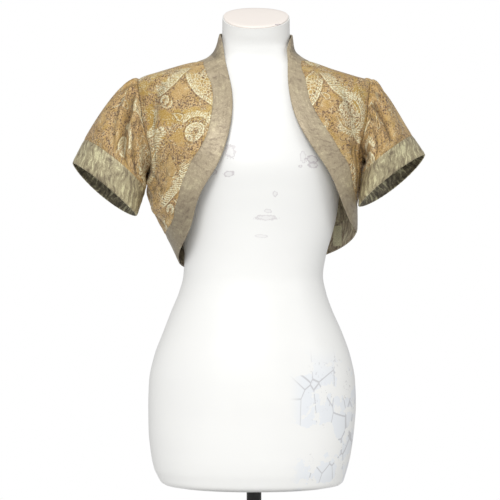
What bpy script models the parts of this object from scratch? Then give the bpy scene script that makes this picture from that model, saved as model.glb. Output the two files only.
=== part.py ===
"""A short-sleeved bolero jacket on a limbless dress form with a short stand.

Metres and degrees, +Z up, the front faces -Y. "left" and "right" are the viewer's, seen from
the front, so left is -X. The origin is the middle of the base plate's underside.

The body of the jacket is cut from one surface round the form, on which a place is an angle,
from 0 at the middle of the front to 180 at the middle of the back, and a height.
"""

import bpy
import numpy as np

LEFT, RIGHT = -1, 1
Y_AXIS = np.array([0.0, 1.0, 0.0])

CLOTH = 0.0015
BAND_CLOTH = 0.0020
SEAM_INSET = 0.0002
ARMHOLE_GAP = 0.0005
SEAT_GAP = 0.0003

BASE_RADIUS = 0.150
BASE_THICKNESS = 0.008
BASE_BEVEL = 0.0015
BASE_SIDES = 64
POLE_RADIUS = 0.0125
POLE_SIDES = 32

FORM_AROUND = 40
FORM_SQUARENESS = 0.02
NECK_TOP = 0.951
NECK_SLANT = 0.43
NECK_SLANT_FROM = 0.905
CAP_THICKNESS = 0.003
CAP_INSET = 0.0025

# Each row is a level section: its height, then how far it reaches from the middle.
FORM_SECTIONS = (
    # height, left, right, front, back
    (0.1550, 0.1340, 0.1300, 0.0880, 0.0940),
    (0.1570, 0.1490, 0.1440, 0.0990, 0.1050),
    (0.1630, 0.1590, 0.1520, 0.1050, 0.1110),
    (0.1720, 0.1640, 0.1550, 0.1080, 0.1150),
    (0.1850, 0.1700, 0.1590, 0.1120, 0.1210),
    (0.2110, 0.1755, 0.1650, 0.1160, 0.1290),
    (0.2520, 0.1795, 0.1705, 0.1180, 0.1330),
    (0.2930, 0.1800, 0.1735, 0.1180, 0.1340),
    (0.3340, 0.1785, 0.1720, 0.1160, 0.1300),
    (0.3750, 0.1700, 0.1640, 0.1110, 0.1190),
    (0.4150, 0.1550, 0.1500, 0.1040, 0.1040),
    (0.4560, 0.1390, 0.1320, 0.0970, 0.0900),
    (0.4840, 0.1275, 0.1225, 0.0920, 0.0830),
    (0.5110, 0.1205, 0.1175, 0.0895, 0.0805),
    (0.5450, 0.1185, 0.1225, 0.0905, 0.0810),
    (0.5800, 0.1250, 0.1325, 0.0930, 0.0840),
    (0.6100, 0.1330, 0.1400, 0.0975, 0.0885),
    (0.6500, 0.1400, 0.1460, 0.1070, 0.0950),
    (0.7000, 0.1480, 0.1530, 0.1180, 0.1020),
    (0.7400, 0.1560, 0.1600, 0.1120, 0.1045),
    (0.7800, 0.1660, 0.1690, 0.0980, 0.1025),
    (0.8100, 0.1750, 0.1770, 0.0840, 0.0960),
    (0.8280, 0.1785, 0.1790, 0.0730, 0.0880),
    (0.8400, 0.1760, 0.1720, 0.0670, 0.0810),
    (0.8470, 0.1700, 0.1600, 0.0630, 0.0775),
    (0.8535, 0.1650, 0.1505, 0.0595, 0.0750),
    (0.8600, 0.1432, 0.1297, 0.0560, 0.0715),
    (0.8668, 0.1192, 0.1107, 0.0535, 0.0700),
    (0.8713, 0.0970, 0.0958, 0.0515, 0.0685),
    (0.8755, 0.0820, 0.0850, 0.0505, 0.0655),
    (0.8809, 0.0725, 0.0760, 0.0505, 0.0625),
    (0.8890, 0.0640, 0.0685, 0.0515, 0.0590),
    (0.9050, 0.0575, 0.0620, 0.0550, 0.0550),
    (0.9250, 0.0545, 0.0612, 0.0610, 0.0510),
    (0.9510, 0.0540, 0.0610, 0.0670, 0.0460),
)

JACKET_SQUARENESS = 0.045
JACKET_SECTIONS = (
    # height, left, right, front, back
    (0.5150, 0.1250, 0.1600, 0.1210, 0.1100),
    (0.5350, 0.1290, 0.1660, 0.1215, 0.1100),
    (0.5550, 0.1370, 0.1720, 0.1220, 0.1100),
    (0.5800, 0.1490, 0.1750, 0.1230, 0.1100),
    (0.6050, 0.1610, 0.1755, 0.1250, 0.1110),
    (0.6300, 0.1760, 0.1750, 0.1280, 0.1120),
    (0.6600, 0.1770, 0.1765, 0.1310, 0.1130),
    (0.6850, 0.1755, 0.1785, 0.1320, 0.1130),
    (0.7100, 0.1825, 0.1815, 0.1310, 0.1120),
    (0.7500, 0.1950, 0.1960, 0.1200, 0.1110),
    (0.7900, 0.2010, 0.2010, 0.1015, 0.1060),
    (0.8200, 0.2020, 0.2015, 0.0850, 0.0980),
    (0.8380, 0.1995, 0.1980, 0.0740, 0.0900),
    (0.8440, 0.1960, 0.1900, 0.0705, 0.0860),
    (0.8483, 0.1890, 0.1755, 0.0690, 0.0835),
    (0.8551, 0.1670, 0.1530, 0.0650, 0.0795),
    (0.8619, 0.1445, 0.1310, 0.0615, 0.0755),
    (0.8687, 0.1205, 0.1120, 0.0600, 0.0740),
    (0.8735, 0.0980, 0.0970, 0.0595, 0.0720),
    (0.8780, 0.0840, 0.0870, 0.0590, 0.0700),
    (0.8835, 0.0755, 0.0785, 0.0585, 0.0675),
    (0.8905, 0.0690, 0.0710, 0.0595, 0.0645),
    (0.8980, 0.0650, 0.0680, 0.0610, 0.0620),
    (0.9090, 0.0615, 0.0665, 0.0635, 0.0590),
    (0.9220, 0.0590, 0.0655, 0.0665, 0.0570),
    (0.9450, 0.0580, 0.0650, 0.0700, 0.0550),
)

SIDE_SEAM = 97.0
SHOULDER_POINT = 0.8460
NECK_SEAM_BACK = 0.8825
NECK_EDGE_BACK = 0.9290

# The band from the side of the neck down the front to the side seam: where it is sewn to the
# brocade, and its free edge.
FRONT_BANDS = {
    LEFT: (
        # seam angle, seam height, edge angle, edge height
        (90, 0.8735, 90, 0.922),
        (62, 0.8725, 66, 0.914),
        (47, 0.8710, 51, 0.897),
        (40, 0.8670, 42, 0.886),
        (33, 0.8610, 32, 0.876),
        (27, 0.8540, 21, 0.866),
        (23, 0.8450, 14.5, 0.853),
        (20.5, 0.8320, 11.3, 0.837),
        (19.3, 0.8060, 9.8, 0.811),
        (20, 0.783, 10, 0.783),
        (22, 0.753, 12, 0.748),
        (27, 0.724, 17, 0.704),
        (35.5, 0.693, 24.5, 0.671),
        (40.5, 0.662, 30, 0.645),
        (43.5, 0.636, 33, 0.622),
        (51, 0.610, 40, 0.594),
        (64, 0.592, 53, 0.566),
        (93, 0.579, 88, 0.535),
        (97, 0.578, 97, 0.532),
    ),
    RIGHT: (
        (90, 0.8735, 90, 0.920),
        (68, 0.8735, 66, 0.911),
        (53, 0.8730, 51, 0.894),
        (43, 0.8690, 41, 0.881),
        (34, 0.8600, 29, 0.867),
        (28, 0.8500, 20.5, 0.854),
        (24.8, 0.8380, 16, 0.841),
        (26, 0.8080, 16.8, 0.811),
        (29, 0.785, 18, 0.784),
        (34, 0.760, 22, 0.757),
        (40, 0.739, 27, 0.733),
        (47.5, 0.718, 34.5, 0.708),
        (55.5, 0.699, 43, 0.682),
        (62, 0.677, 49, 0.653),
        (69, 0.654, 55, 0.628),
        (78, 0.637, 66, 0.597),
        (93, 0.631, 92, 0.584),
        (97, 0.630, 97, 0.583),
    ),
}

# The share of the band's seam, from the top, that faces the armhole.
BESIDE_ARMHOLE = {LEFT: 0.72, RIGHT: 0.84}

# The hem band round the back, from the left side seam to the right one. Its angle is counted
# from the middle of the back.
HEM_BAND = (
    # angle, seam height, edge height
    (-83, 0.578, 0.532),
    (-60, 0.569, 0.523),
    (-20, 0.565, 0.520),
    (20, 0.572, 0.527),
    (40, 0.587, 0.542),
    (55, 0.602, 0.556),
    (70, 0.618, 0.571),
    (83, 0.630, 0.583),
)

# Each armhole, from the shoulder down to the underarm.
ARMHOLES = {
    LEFT: (
        # height, front angle, back angle
        (0.8460, 90, 90),
        (0.8400, 80, 99),
        (0.8230, 71, 109),
        (0.7900, 67, 116),
        (0.7550, 66, 119),
        (0.7200, 69, 118),
        (0.6950, 79, 110),
        (0.6850, 97, 97),
    ),
    RIGHT: (
        (0.8460, 90, 90),
        (0.8400, 80, 99),
        (0.8250, 72, 108),
        (0.7950, 68, 115),
        (0.7650, 67, 118),
        (0.7350, 70, 117),
        (0.7130, 80, 110),
        (0.7050, 97, 97),
    ),
}

# Soft folds of the body: a ridge where the depth is positive, a trough where it is negative.
BODY_FOLDS = (
    # side, from angle, from height, to angle, to height, width, depth
    (LEFT, 34, 0.850, 54, 0.715, 0.016, 0.0040),
    (LEFT, 48, 0.805, 74, 0.690, 0.012, -0.0040),
    (LEFT, 60, 0.705, 90, 0.650, 0.010, 0.0035),
    (LEFT, 62, 0.665, 90, 0.620, 0.009, -0.0030),
    (LEFT, 58, 0.640, 88, 0.590, 0.010, 0.0030),
    (LEFT, 150, 0.810, 116, 0.670, 0.018, 0.0035),
    (LEFT, 135, 0.760, 108, 0.650, 0.013, -0.0030),
    (RIGHT, 34, 0.850, 50, 0.735, 0.016, 0.0035),
    (RIGHT, 46, 0.800, 70, 0.705, 0.011, -0.0035),
    (RIGHT, 52, 0.715, 74, 0.660, 0.009, 0.0030),
    (RIGHT, 150, 0.810, 116, 0.690, 0.018, 0.0035),
    (RIGHT, 138, 0.760, 108, 0.670, 0.013, -0.0030),
    (RIGHT, 172, 0.800, 168, 0.620, 0.020, -0.0030),
)
# The radius that turns an angle round the body into a length along its cloth.
FOLD_RADIUS = 0.155
# Where along its length a body fold rises from nothing and dies away again.
FOLD_RISES = (-0.25, 0.3)
FOLD_DIES = (0.7, 1.25)
# The heights between which the body folds die away towards the shoulders.
FOLDS_FADE = (0.825, 0.852)

# The ends of each cuff's two edges: distance from the middle, depth and height. The front of
# an edge is lifted towards the shoulder, and its back dropped, so the cuff opens to the front.
SLEEVES = {
    LEFT: {
        "seam": {
            "outer": (0.289, 0.004, 0.742),
            "inner": (0.183, -0.026, 0.657),
            "depth": 0.050,
            "lift": 0.009,
            "drop": 0.009,
        },
        "rim": {
            "outer": (0.309, 0.004, 0.703),
            "inner": (0.198, -0.020, 0.613),
            "depth": 0.046,
            "lift": 0.001,
            "drop": 0.013,
        },
        "start": 0.57,
        "end": 0.90,
    },
    RIGHT: {
        "seam": {
            "outer": (0.269, 0.000, 0.749),
            "inner": (0.183, -0.032, 0.684),
            "depth": 0.056,
            "lift": 0.005,
            "drop": 0.010,
        },
        "rim": {
            "outer": (0.291, 0.000, 0.717),
            "inner": (0.1755, -0.026, 0.629),
            "depth": 0.046,
            "lift": 0.003,
            "drop": 0.014,
        },
        "start": 0.66,
        "end": 0.90,
    },
}
CUFF_PINCH = 1.3
SLEEVE_OUTWARD = (1.0, 0.0, 0.0)
SLEEVE_SPREAD = 0.20

# Folds of each sleeve. A place round it runs from 0 at the shoulder to 0.25 at the front, 0.5
# at the underarm and 0.75 at the back, and a place along it from 0 at the armhole to 1.
SLEEVE_FOLDS = {
    LEFT: (
        # around at the start, around at the end, from, to, width, depth
        (0.10, 0.40, 0.05, 1.05, 0.050, -0.0090),
        (0.17, 0.46, 0.02, 0.75, 0.035, 0.0050),
        (0.03, 0.14, 0.20, 1.10, 0.050, 0.0040),
        (0.92, 0.72, 0.05, 0.95, 0.050, -0.0060),
        (0.82, 0.60, 0.05, 0.80, 0.040, 0.0040),
    ),
    RIGHT: (
        (0.16, 0.26, 0.05, 0.95, 0.045, -0.0060),
        (0.26, 0.40, 0.05, 0.90, 0.045, 0.0050),
        (0.07, 0.10, 0.15, 1.00, 0.040, -0.0035),
        (0.90, 0.76, 0.05, 0.95, 0.050, -0.0060),
        (0.80, 0.62, 0.05, 0.80, 0.040, 0.0040),
    ),
}
# How much of a sleeve fold's length it takes to rise, and to die away.
SLEEVE_FOLD_RISE = 0.25
SLEEVE_FOLD_FALL = 0.30

# The gathers at each sleeve's head: how many there are to each side of the shoulder, how far
# round they reach, how deep they are, and where along the sleeve they rise and die away.
GATHERS = 6
GATHER_SPAN = 0.30
GATHER_DEPTH = 0.0022
GATHERS_THIN_OUT = 0.18
GATHERS_RISE = (0.0, 0.12)
GATHERS_DIE = (0.20, 0.45)

ARMHOLE_ROWS = 12
SIDE_ROWS = 6
FRONT_COLUMNS = 10
SHOULDER_COLUMNS = 5
NECK_COLUMNS = 12
BAND_COLUMNS = 3
SLEEVE_ROWS = 8
CUFF_ROWS = 2

SHARP_ANGLE = 40.0

WHITE_PAINT = {"colour": (0.80, 0.79, 0.77), "roughness": 0.35, "metallic": 0.0}
CAP_PAINT = {"colour": (0.78, 0.68, 0.64), "roughness": 0.4, "metallic": 0.0}
BLACK_STEEL = {"colour": (0.02, 0.02, 0.02), "roughness": 0.4, "metallic": 0.6}
BROCADE = {"colour": (0.46, 0.29, 0.11), "roughness": 0.5, "metallic": 0.25}
TAFFETA = {"colour": (0.30, 0.26, 0.16), "roughness": 0.38, "metallic": 0.15}


def clear_scene():
    for thing in list(bpy.data.objects):
        bpy.data.objects.remove(thing, do_unlink=True)


def smooth(where, stations, values):
    """A smooth curve through the values at these rising stations, which never overshoots them."""
    stations = np.asarray(stations, float)
    values = np.asarray(values, float)
    steps = np.diff(stations)
    rises = np.diff(values) / steps
    product = rises[:-1] * rises[1:]
    total = np.where(product > 0, rises[:-1] + rises[1:], 1.0)
    inner = np.where(product > 0, 2 * product / total, 0.0)
    slopes = np.concatenate([rises[:1], inner, rises[-1:]])
    where = np.clip(where, stations[0], stations[-1])
    k = np.clip(np.searchsorted(stations, where, side="right") - 1, 0, len(steps) - 1)
    t = (where - stations[k]) / steps[k]
    start = (1 + 2 * t) * (1 - t) ** 2 * values[k] + t * (1 - t) ** 2 * steps[k] * slopes[k]
    end = t * t * (3 - 2 * t) * values[k + 1] - t * t * (1 - t) * steps[k] * slopes[k + 1]
    return start + end


def ease(value, start, end):
    """0 up to the start and 1 from the end, smooth between."""
    t = np.clip((value - start) / (end - start), 0.0, 1.0)
    return t * t * (3 - 2 * t)


def unit(vectors):
    return vectors / np.linalg.norm(vectors, axis=-1, keepdims=True)


def section_point(sections, squareness, side, angle, height):
    """The point at this angle round the level section at this height. Side is -1, 1 or an array."""
    heights, left, right, front, back = np.array(sections).T
    turn = np.radians(angle)
    width = np.where(side < 0, smooth(height, heights, left), smooth(height, heights, right))
    depth_front = smooth(height, heights, front)
    depth = np.where(np.cos(turn) > 0, depth_front, smooth(height, heights, back))
    fuller = 1 + squareness * np.sin(2 * turn) ** 2
    x = side * width * np.sin(turn) * fuller
    y = -depth * np.cos(turn) * fuller
    return np.stack([x, y, height + 0 * x], axis=-1)


def body_fold(side, angle, height):
    """How far the folds move the jacket's body out."""
    across = np.radians(angle) * FOLD_RADIUS
    moved = np.zeros(np.broadcast(side, angle, height).shape)
    for fold_side, angle_a, height_a, angle_b, height_b, width, depth in BODY_FOLDS:
        start = np.array([np.radians(angle_a) * FOLD_RADIUS, height_a])
        along = np.array([np.radians(angle_b) * FOLD_RADIUS, height_b]) - start
        length = np.linalg.norm(along)
        along /= length
        offset_x, offset_z = across - start[0], height - start[1]
        reach = (offset_x * along[0] + offset_z * along[1]) / length
        aside = offset_x * along[1] - offset_z * along[0]
        taper = ease(reach, *FOLD_RISES) * (1 - ease(reach, *FOLD_DIES))
        moved = moved + depth * np.exp(-((aside / width) ** 2)) * taper * (side == fold_side)
    return moved * (1 - ease(height, *FOLDS_FADE))


def body_point(side, angle, height):
    """The outside of the jacket's body."""
    side, angle, height = np.broadcast_arrays(side, np.asarray(angle, float), height)
    points = section_point(JACKET_SECTIONS, JACKET_SQUARENESS, side, angle, height)
    turn = np.radians(angle)
    outward = np.stack([side * np.sin(turn), -np.cos(turn), 0 * turn], axis=-1)
    return points + outward * body_fold(side, angle, height)[..., None]


def back_point(angle, height):
    """The same surface, with the angle counted from the middle of the back and minus to the left."""
    return body_point(np.where(angle < 0, LEFT, RIGHT), 180 - np.abs(angle), height)


def along_path(table, count):
    """This many even steps along the path through (angle, height) rows."""
    table = np.asarray(table, float)
    flat = np.stack([np.radians(table[:, 0]) * FOLD_RADIUS, table[:, 1]], axis=1)
    travelled = np.concatenate([[0], np.cumsum(np.linalg.norm(np.diff(flat, axis=0), axis=1))])
    where = np.linspace(0, travelled[-1], count + 1)
    return np.stack([smooth(where, travelled, table[:, k]) for k in (0, 1)], axis=1)


def side_edge(side, back):
    """(angle, height) down the armhole and then the side seam, one row for each row of a panel."""
    armhole = [(row[2 if back else 1], row[0]) for row in ARMHOLES[side]]
    underarm = armhole[-1]
    bottom = (SIDE_SEAM, FRONT_BANDS[side][-1][1])
    seam = np.linspace(underarm, bottom, SIDE_ROWS + 1)
    return np.concatenate([along_path(armhole, ARMHOLE_ROWS), seam[1:]])


def front_edge(side):
    """(angle, height) of the band's seam and of its free edge, with the panel's rows, then on to the side."""
    rows = np.array(FRONT_BANDS[side], float)
    step = np.diff(rows[:, :2] * [np.radians(FOLD_RADIUS), 1], axis=0)
    travelled = np.concatenate([[0], np.cumsum(np.linalg.norm(step, axis=1))])
    beside = travelled[-2] * BESIDE_ARMHOLE[side]
    upper = np.linspace(0, beside, ARMHOLE_ROWS + 1)
    lower = np.linspace(beside, travelled[-2], SIDE_ROWS + 1)
    where = np.concatenate([upper, lower[1:], travelled[-1:]])
    columns = [smooth(where, travelled, rows[:, k]) for k in range(4)]
    return np.stack(columns[:2], axis=1), np.stack(columns[2:], axis=1)


def ruled(first, second, columns):
    """Rows of (angle, height) between two edges."""
    t = np.linspace(0, 1, columns + 1)[None, :, None]
    return first[:, None] * (1 - t) + second[:, None] * t


def front_panel(side):
    seam, _ = front_edge(side)
    grid = ruled(seam[:-1], side_edge(side, False), FRONT_COLUMNS)
    return body_point(side, grid[..., 0], grid[..., 1])


def front_band(side):
    seam, edge = front_edge(side)
    grid = ruled(seam, edge, BAND_COLUMNS)
    return body_point(side, grid[..., 0], grid[..., 1])


def neck_edges():
    """(angle from the back, height) of the back neck seam and of the neck band's free edge."""
    angle = np.linspace(-90, 90, NECK_COLUMNS + 1)
    rise = 1 - (angle / 90) ** 2
    seam_ends = [FRONT_BANDS[side][0][1] for side in (LEFT, RIGHT)]
    edge_ends = [FRONT_BANDS[side][0][3] for side in (LEFT, RIGHT)]
    level_seam = np.interp(angle, (-90, 90), seam_ends)
    level_edge = np.interp(angle, (-90, 90), edge_ends)
    seam = level_seam + rise * (NECK_SEAM_BACK - np.mean(seam_ends))
    edge = level_edge + rise * (NECK_EDGE_BACK - np.mean(edge_ends))
    return np.stack([angle, seam], axis=1), np.stack([angle, edge], axis=1)


def neck_band():
    seam, edge = neck_edges()
    grid = ruled(seam, edge, BAND_COLUMNS)
    return back_point(grid[..., 0], grid[..., 1])


def hem_edges():
    """(angle from the back, height) of the hem band's seam and of its free edge."""
    angle, seam, edge = np.array(HEM_BAND, float).T
    where = np.linspace(angle[0], angle[-1], NECK_COLUMNS + 2 * SHOULDER_COLUMNS + 1)
    return [np.stack([where, smooth(where, angle, line)], axis=1) for line in (seam, edge)]


def hem_band():
    seam, edge = hem_edges()
    grid = ruled(seam, edge, BAND_COLUMNS)
    return back_point(grid[..., 0], grid[..., 1])


def back_panel():
    """A patch between the shoulders and back neck, the two sides and the hem band's seam."""
    neck, _ = neck_edges()
    shoulders = [
        np.linspace((90 * side, SHOULDER_POINT), neck[end], SHOULDER_COLUMNS + 1)[:-1]
        for side, end in ((LEFT, 0), (RIGHT, -1))
    ]
    top = np.concatenate([shoulders[0], neck, shoulders[1][::-1]])[None]
    bottom = hem_edges()[0][None]
    sides = []
    for side in (LEFT, RIGHT):
        edge = side_edge(side, True)
        sides.append(np.stack([side * (180 - edge[:, 0]), edge[:, 1]], axis=1)[:, None])
    v = np.linspace(0, 1, len(sides[0]))[:, None, None]
    u = np.linspace(0, 1, top.shape[1])[None, :, None]
    corners = (1 - v) * ((1 - u) * top[:, :1] + u * top[:, -1:])
    corners = corners + v * ((1 - u) * bottom[:, :1] + u * bottom[:, -1:])
    grid = (1 - v) * top + v * bottom + (1 - u) * sides[0] + u * sides[1] - corners
    return back_point(grid[..., 0], grid[..., 1])


def armhole_loop(side):
    """The armhole's points, from the shoulder down the front and up the back, and each midpoint."""
    edges = [side_edge(side, back)[: ARMHOLE_ROWS + 1] for back in (False, True)]
    front, back = [body_point(side, edge[:, 0], edge[:, 1]) for edge in edges]
    corners = np.concatenate([front, back[-2:0:-1]])
    middles = (corners + np.roll(corners, -1, axis=0)) / 2
    return np.stack([corners, middles], axis=1).reshape(-1, 3)


def cuff_loop(side, edge, count):
    """The flattened loop of one of a cuff's edges, from its outer end round by the front."""
    sizes = SLEEVES[side][edge]
    outer, inner = (np.array(sizes[end]) * (side, 1, 1) for end in ("outer", "inner"))
    half = (outer - inner) / 2
    up = unit(np.array([-side * half[2], 0, side * half[0]]))
    turn = np.linspace(0, 2 * np.pi, count, endpoint=False)[:, None]
    bulge = np.sign(np.sin(turn)) * np.abs(np.sin(turn)) ** CUFF_PINCH
    raised = np.where(bulge > 0, sizes["lift"], sizes["drop"]) * bulge
    flat_loop = (outer + inner) / 2 + np.cos(turn) * half
    return flat_loop + raised * up - bulge * sizes["depth"] * Y_AXIS


def sleeve_fold(side, around, along):
    """How far the folds and gathers move the sleeve's cloth out."""
    moved = np.zeros(np.broadcast(around, along).shape)
    for start, end, begin, stop, width, depth in SLEEVE_FOLDS[side]:
        middle = start + (end - start) * along
        aside = (around - middle + 0.5) % 1.0 - 0.5
        rising = ease(along, begin, begin + SLEEVE_FOLD_RISE)
        dying = 1 - ease(along, stop - SLEEVE_FOLD_FALL, stop)
        moved = moved + depth * np.exp(-((aside / width) ** 2)) * rising * dying
    from_top = np.abs((around + 0.5) % 1.0 - 0.5)
    head = 1 - ease(from_top, GATHERS_THIN_OUT, GATHER_SPAN)
    along_head = ease(along, *GATHERS_RISE) * (1 - ease(along, *GATHERS_DIE))
    wave = np.cos(2 * np.pi * GATHERS * from_top / GATHER_SPAN)
    return moved + GATHER_DEPTH * head * along_head * wave


def sleeve(side):
    """Rings from the armhole to the cuff's seam."""
    start = armhole_loop(side)
    end = cuff_loop(side, "seam", len(start))
    chord = np.linalg.norm(end - start, axis=1, keepdims=True)
    outward = unit(np.array(SLEEVE_OUTWARD) * (side, 1, 1))
    from_middle = start - start.mean(axis=0)
    radial = unit(from_middle - (from_middle @ outward)[:, None] * outward)
    start = start + ARMHOLE_GAP * (outward - radial)
    leaving = unit(outward + SLEEVE_SPREAD * radial) * chord * SLEEVES[side]["start"]
    arriving = unit(cuff_loop(side, "rim", len(start)) - end) * chord * SLEEVES[side]["end"]
    t = np.linspace(0, 1, SLEEVE_ROWS + 1)[:, None, None]
    rings = (1 + 2 * t) * (1 - t) ** 2 * start + t * (1 - t) ** 2 * leaving
    rings = rings + t * t * (3 - 2 * t) * end - t * t * (1 - t) * arriving
    middle = rings.mean(axis=1, keepdims=True)
    around = np.linspace(0, 1, len(start), endpoint=False)[None, :]
    moved = sleeve_fold(side, around, t[..., 0])
    return rings + unit(rings - middle) * moved[..., None]


def cuff(side):
    start = sleeve(side)[-1]
    end = cuff_loop(side, "rim", len(start))
    t = np.linspace(0, 1, CUFF_ROWS + 1)[:, None, None]
    return start * (1 - t) + end * t


def material(name, look):
    made = bpy.data.materials.get(name)
    if made:
        return made
    made = bpy.data.materials.new(name)
    made.use_nodes = True
    shader = made.node_tree.nodes["Principled BSDF"]
    shader.inputs["Base Color"].default_value = (*look["colour"], 1.0)
    shader.inputs["Roughness"].default_value = look["roughness"]
    shader.inputs["Metallic"].default_value = look["metallic"]
    return made


def finish(thing, name, surface):
    thing.name = name
    thing.data.name = name
    thing.data.materials.clear()
    thing.data.materials.append(surface)
    thing.data.shade_smooth()
    thing.data.set_sharp_from_angle(angle=np.radians(SHARP_ANGLE))
    for collection in list(thing.users_collection):
        collection.objects.unlink(thing)
    bpy.data.collections["bolero_jacket"].objects.link(thing)
    return thing


def inset(grid, closed):
    """Draws the border of a grid in by the seam's inset. A closed grid has no border along its rows."""
    grid = grid.copy()
    ends = ((0, 1), (-1, -2))
    for end, inner in ends:
        grid[end] += unit(grid[inner] - grid[end]) * SEAM_INSET
    if not closed:
        for end, inner in ends:
            grid[:, end] += unit(grid[:, inner] - grid[:, end]) * SEAM_INSET
    return grid


def grid_faces(rows, columns, closed):
    faces = []
    for row in range(rows - 1):
        for column in range(columns if closed else columns - 1):
            here = row * columns + column
            beside = row * columns + (column + 1) % columns
            faces.append((here, beside, beside + columns, here + columns))
    return faces


def cloth(name, grid, thickness, surface, closed=False, flip=False):
    """A sheet on a grid of points, given its thickness on the inside by Solidify."""
    grid = inset(grid, closed)
    faces = grid_faces(*grid.shape[:2], closed)
    if flip:
        faces = [face[::-1] for face in faces]
    mesh = bpy.data.meshes.new(name)
    mesh.from_pydata(grid.reshape(-1, 3).tolist(), [], faces)
    thing = bpy.data.objects.new(name, mesh)
    bpy.context.scene.collection.objects.link(thing)
    wall = thing.modifiers.new("Thickness", "SOLIDIFY")
    wall.thickness = thickness
    wall.offset = -1.0
    wall.use_even_offset = True
    return finish(thing, name, surface)


def dress_form():
    """The torso, lofted through its level sections, with the neck cut on a slant."""
    heights = np.array([row[0] for row in FORM_SECTIONS])[:, None]
    angle = np.linspace(0, 360, FORM_AROUND, endpoint=False)[None, :]
    side = np.where(angle < 180, RIGHT, LEFT)
    turn = np.where(angle < 180, angle, 360 - angle)
    rings = section_point(FORM_SECTIONS, FORM_SQUARENESS, side, turn, heights)
    slanted = ease(rings[..., 2], NECK_SLANT_FROM, NECK_TOP) * NECK_SLANT
    rings[..., 2] += slanted * rings[..., 1]
    faces = grid_faces(*rings.shape[:2], True)
    last = rings.shape[0] * FORM_AROUND
    faces += [tuple(range(FORM_AROUND))[::-1], tuple(range(last - FORM_AROUND, last))]
    mesh = bpy.data.meshes.new("dress_form")
    mesh.from_pydata(rings.reshape(-1, 3).tolist(), [], faces)
    thing = bpy.data.objects.new("dress_form", mesh)
    bpy.context.scene.collection.objects.link(thing)
    finish(thing, "dress_form", material("white paint", WHITE_PAINT))
    return rings[-1]


def neck_cap(rim):
    """A thin plate on the neck's slanted top."""
    middle = rim.mean(axis=0)
    lift = unit(np.array([0.0, -NECK_SLANT, 1.0]))
    loop = rim + unit(middle - rim) * CAP_INSET + lift * SEAT_GAP
    mesh = bpy.data.meshes.new("neck_cap")
    mesh.from_pydata(loop.tolist(), [], [tuple(range(len(loop)))])
    thing = bpy.data.objects.new("neck_cap", mesh)
    bpy.context.scene.collection.objects.link(thing)
    wall = thing.modifiers.new("Thickness", "SOLIDIFY")
    wall.thickness = CAP_THICKNESS
    wall.offset = 1.0
    return finish(thing, "neck_cap", material("cap paint", CAP_PAINT))


def upright_cylinder(name, radius, bottom, top, sides):
    bpy.ops.mesh.primitive_cylinder_add(
        vertices=sides, radius=radius, depth=top - bottom, location=(0, 0, (top + bottom) / 2)
    )
    return finish(bpy.context.object, name, material("black steel", BLACK_STEEL))


def stand():
    base = upright_cylinder("base_plate", BASE_RADIUS, 0, BASE_THICKNESS, BASE_SIDES)
    rounding = base.modifiers.new("Rounded edge", "BEVEL")
    rounding.width = BASE_BEVEL
    rounding.segments = 1
    pole_bottom = BASE_THICKNESS + SEAT_GAP
    pole_top = FORM_SECTIONS[0][0] - SEAT_GAP
    upright_cylinder("pole", POLE_RADIUS, pole_bottom, pole_top, POLE_SIDES)


def jacket():
    brocade = material("gold brocade", BROCADE)
    taffeta = material("olive taffeta", TAFFETA)
    cloth("back_panel", back_panel(), CLOTH, brocade)
    cloth("neck_band", neck_band(), BAND_CLOTH, taffeta)
    cloth("hem_band_back", hem_band(), BAND_CLOTH, taffeta, flip=True)
    for side, word in ((LEFT, "left"), (RIGHT, "right")):
        mirrored = side == RIGHT
        cloth("front_" + word, front_panel(side), CLOTH, brocade, flip=mirrored)
        cloth("front_band_" + word, front_band(side), BAND_CLOTH, taffeta, flip=not mirrored)
        cloth("sleeve_" + word, sleeve(side), CLOTH, brocade, closed=True, flip=mirrored)
        cloth("cuff_" + word, cuff(side), BAND_CLOTH, taffeta, closed=True, flip=mirrored)


def main():
    clear_scene()
    bpy.context.scene.collection.children.link(bpy.data.collections.new("bolero_jacket"))
    neck_cap(dress_form())
    stand()
    jacket()


main()
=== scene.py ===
"""The looks of a short-sleeved bolero jacket on a limbless dress form with a short stand.

Metres and degrees, +Z up, the front faces -Y. "left" and "right" are the viewer's, seen from
the front, so left is -X. The cloth follows the same named sizes as the solids, on finer grids,
with the small creases, puckers and gathers added. A place on the body of the jacket is an
angle, from 0 at the middle of the front to 180 at the middle of the back, and a height.
"""

import math

import bpy
import numpy as np
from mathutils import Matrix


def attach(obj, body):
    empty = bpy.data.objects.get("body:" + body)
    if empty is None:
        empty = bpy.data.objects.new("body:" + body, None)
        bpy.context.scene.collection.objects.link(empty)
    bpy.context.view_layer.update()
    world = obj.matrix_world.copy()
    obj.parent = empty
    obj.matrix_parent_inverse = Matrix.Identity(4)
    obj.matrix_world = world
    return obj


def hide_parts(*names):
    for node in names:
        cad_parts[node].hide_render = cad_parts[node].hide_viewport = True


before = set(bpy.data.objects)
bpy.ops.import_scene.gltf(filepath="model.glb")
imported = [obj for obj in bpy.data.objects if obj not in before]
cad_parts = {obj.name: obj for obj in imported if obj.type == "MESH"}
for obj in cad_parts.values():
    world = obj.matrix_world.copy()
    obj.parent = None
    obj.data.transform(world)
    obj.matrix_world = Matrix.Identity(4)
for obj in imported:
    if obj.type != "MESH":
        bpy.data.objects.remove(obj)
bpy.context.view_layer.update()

LEFT, RIGHT = -1, 1
Y_AXIS = np.array([0.0, 1.0, 0.0])

# The lined brocade's thickness and the folded band's, how far each piece stops short of its
# seam, and how far a sleeve stands off its armhole.
CLOTH = 0.0015
BAND_CLOTH = 0.0020
SEAM_INSET = 0.0001
ARMHOLE_GAP = 0.0005

BASE_RADIUS = 0.150
BASE_THICKNESS = 0.008
BASE_SIDES = 128
POLE_RADIUS = 0.0125
POLE_SIDES = 64
POLE_RINGS = (0.06, 0.11)
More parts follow.
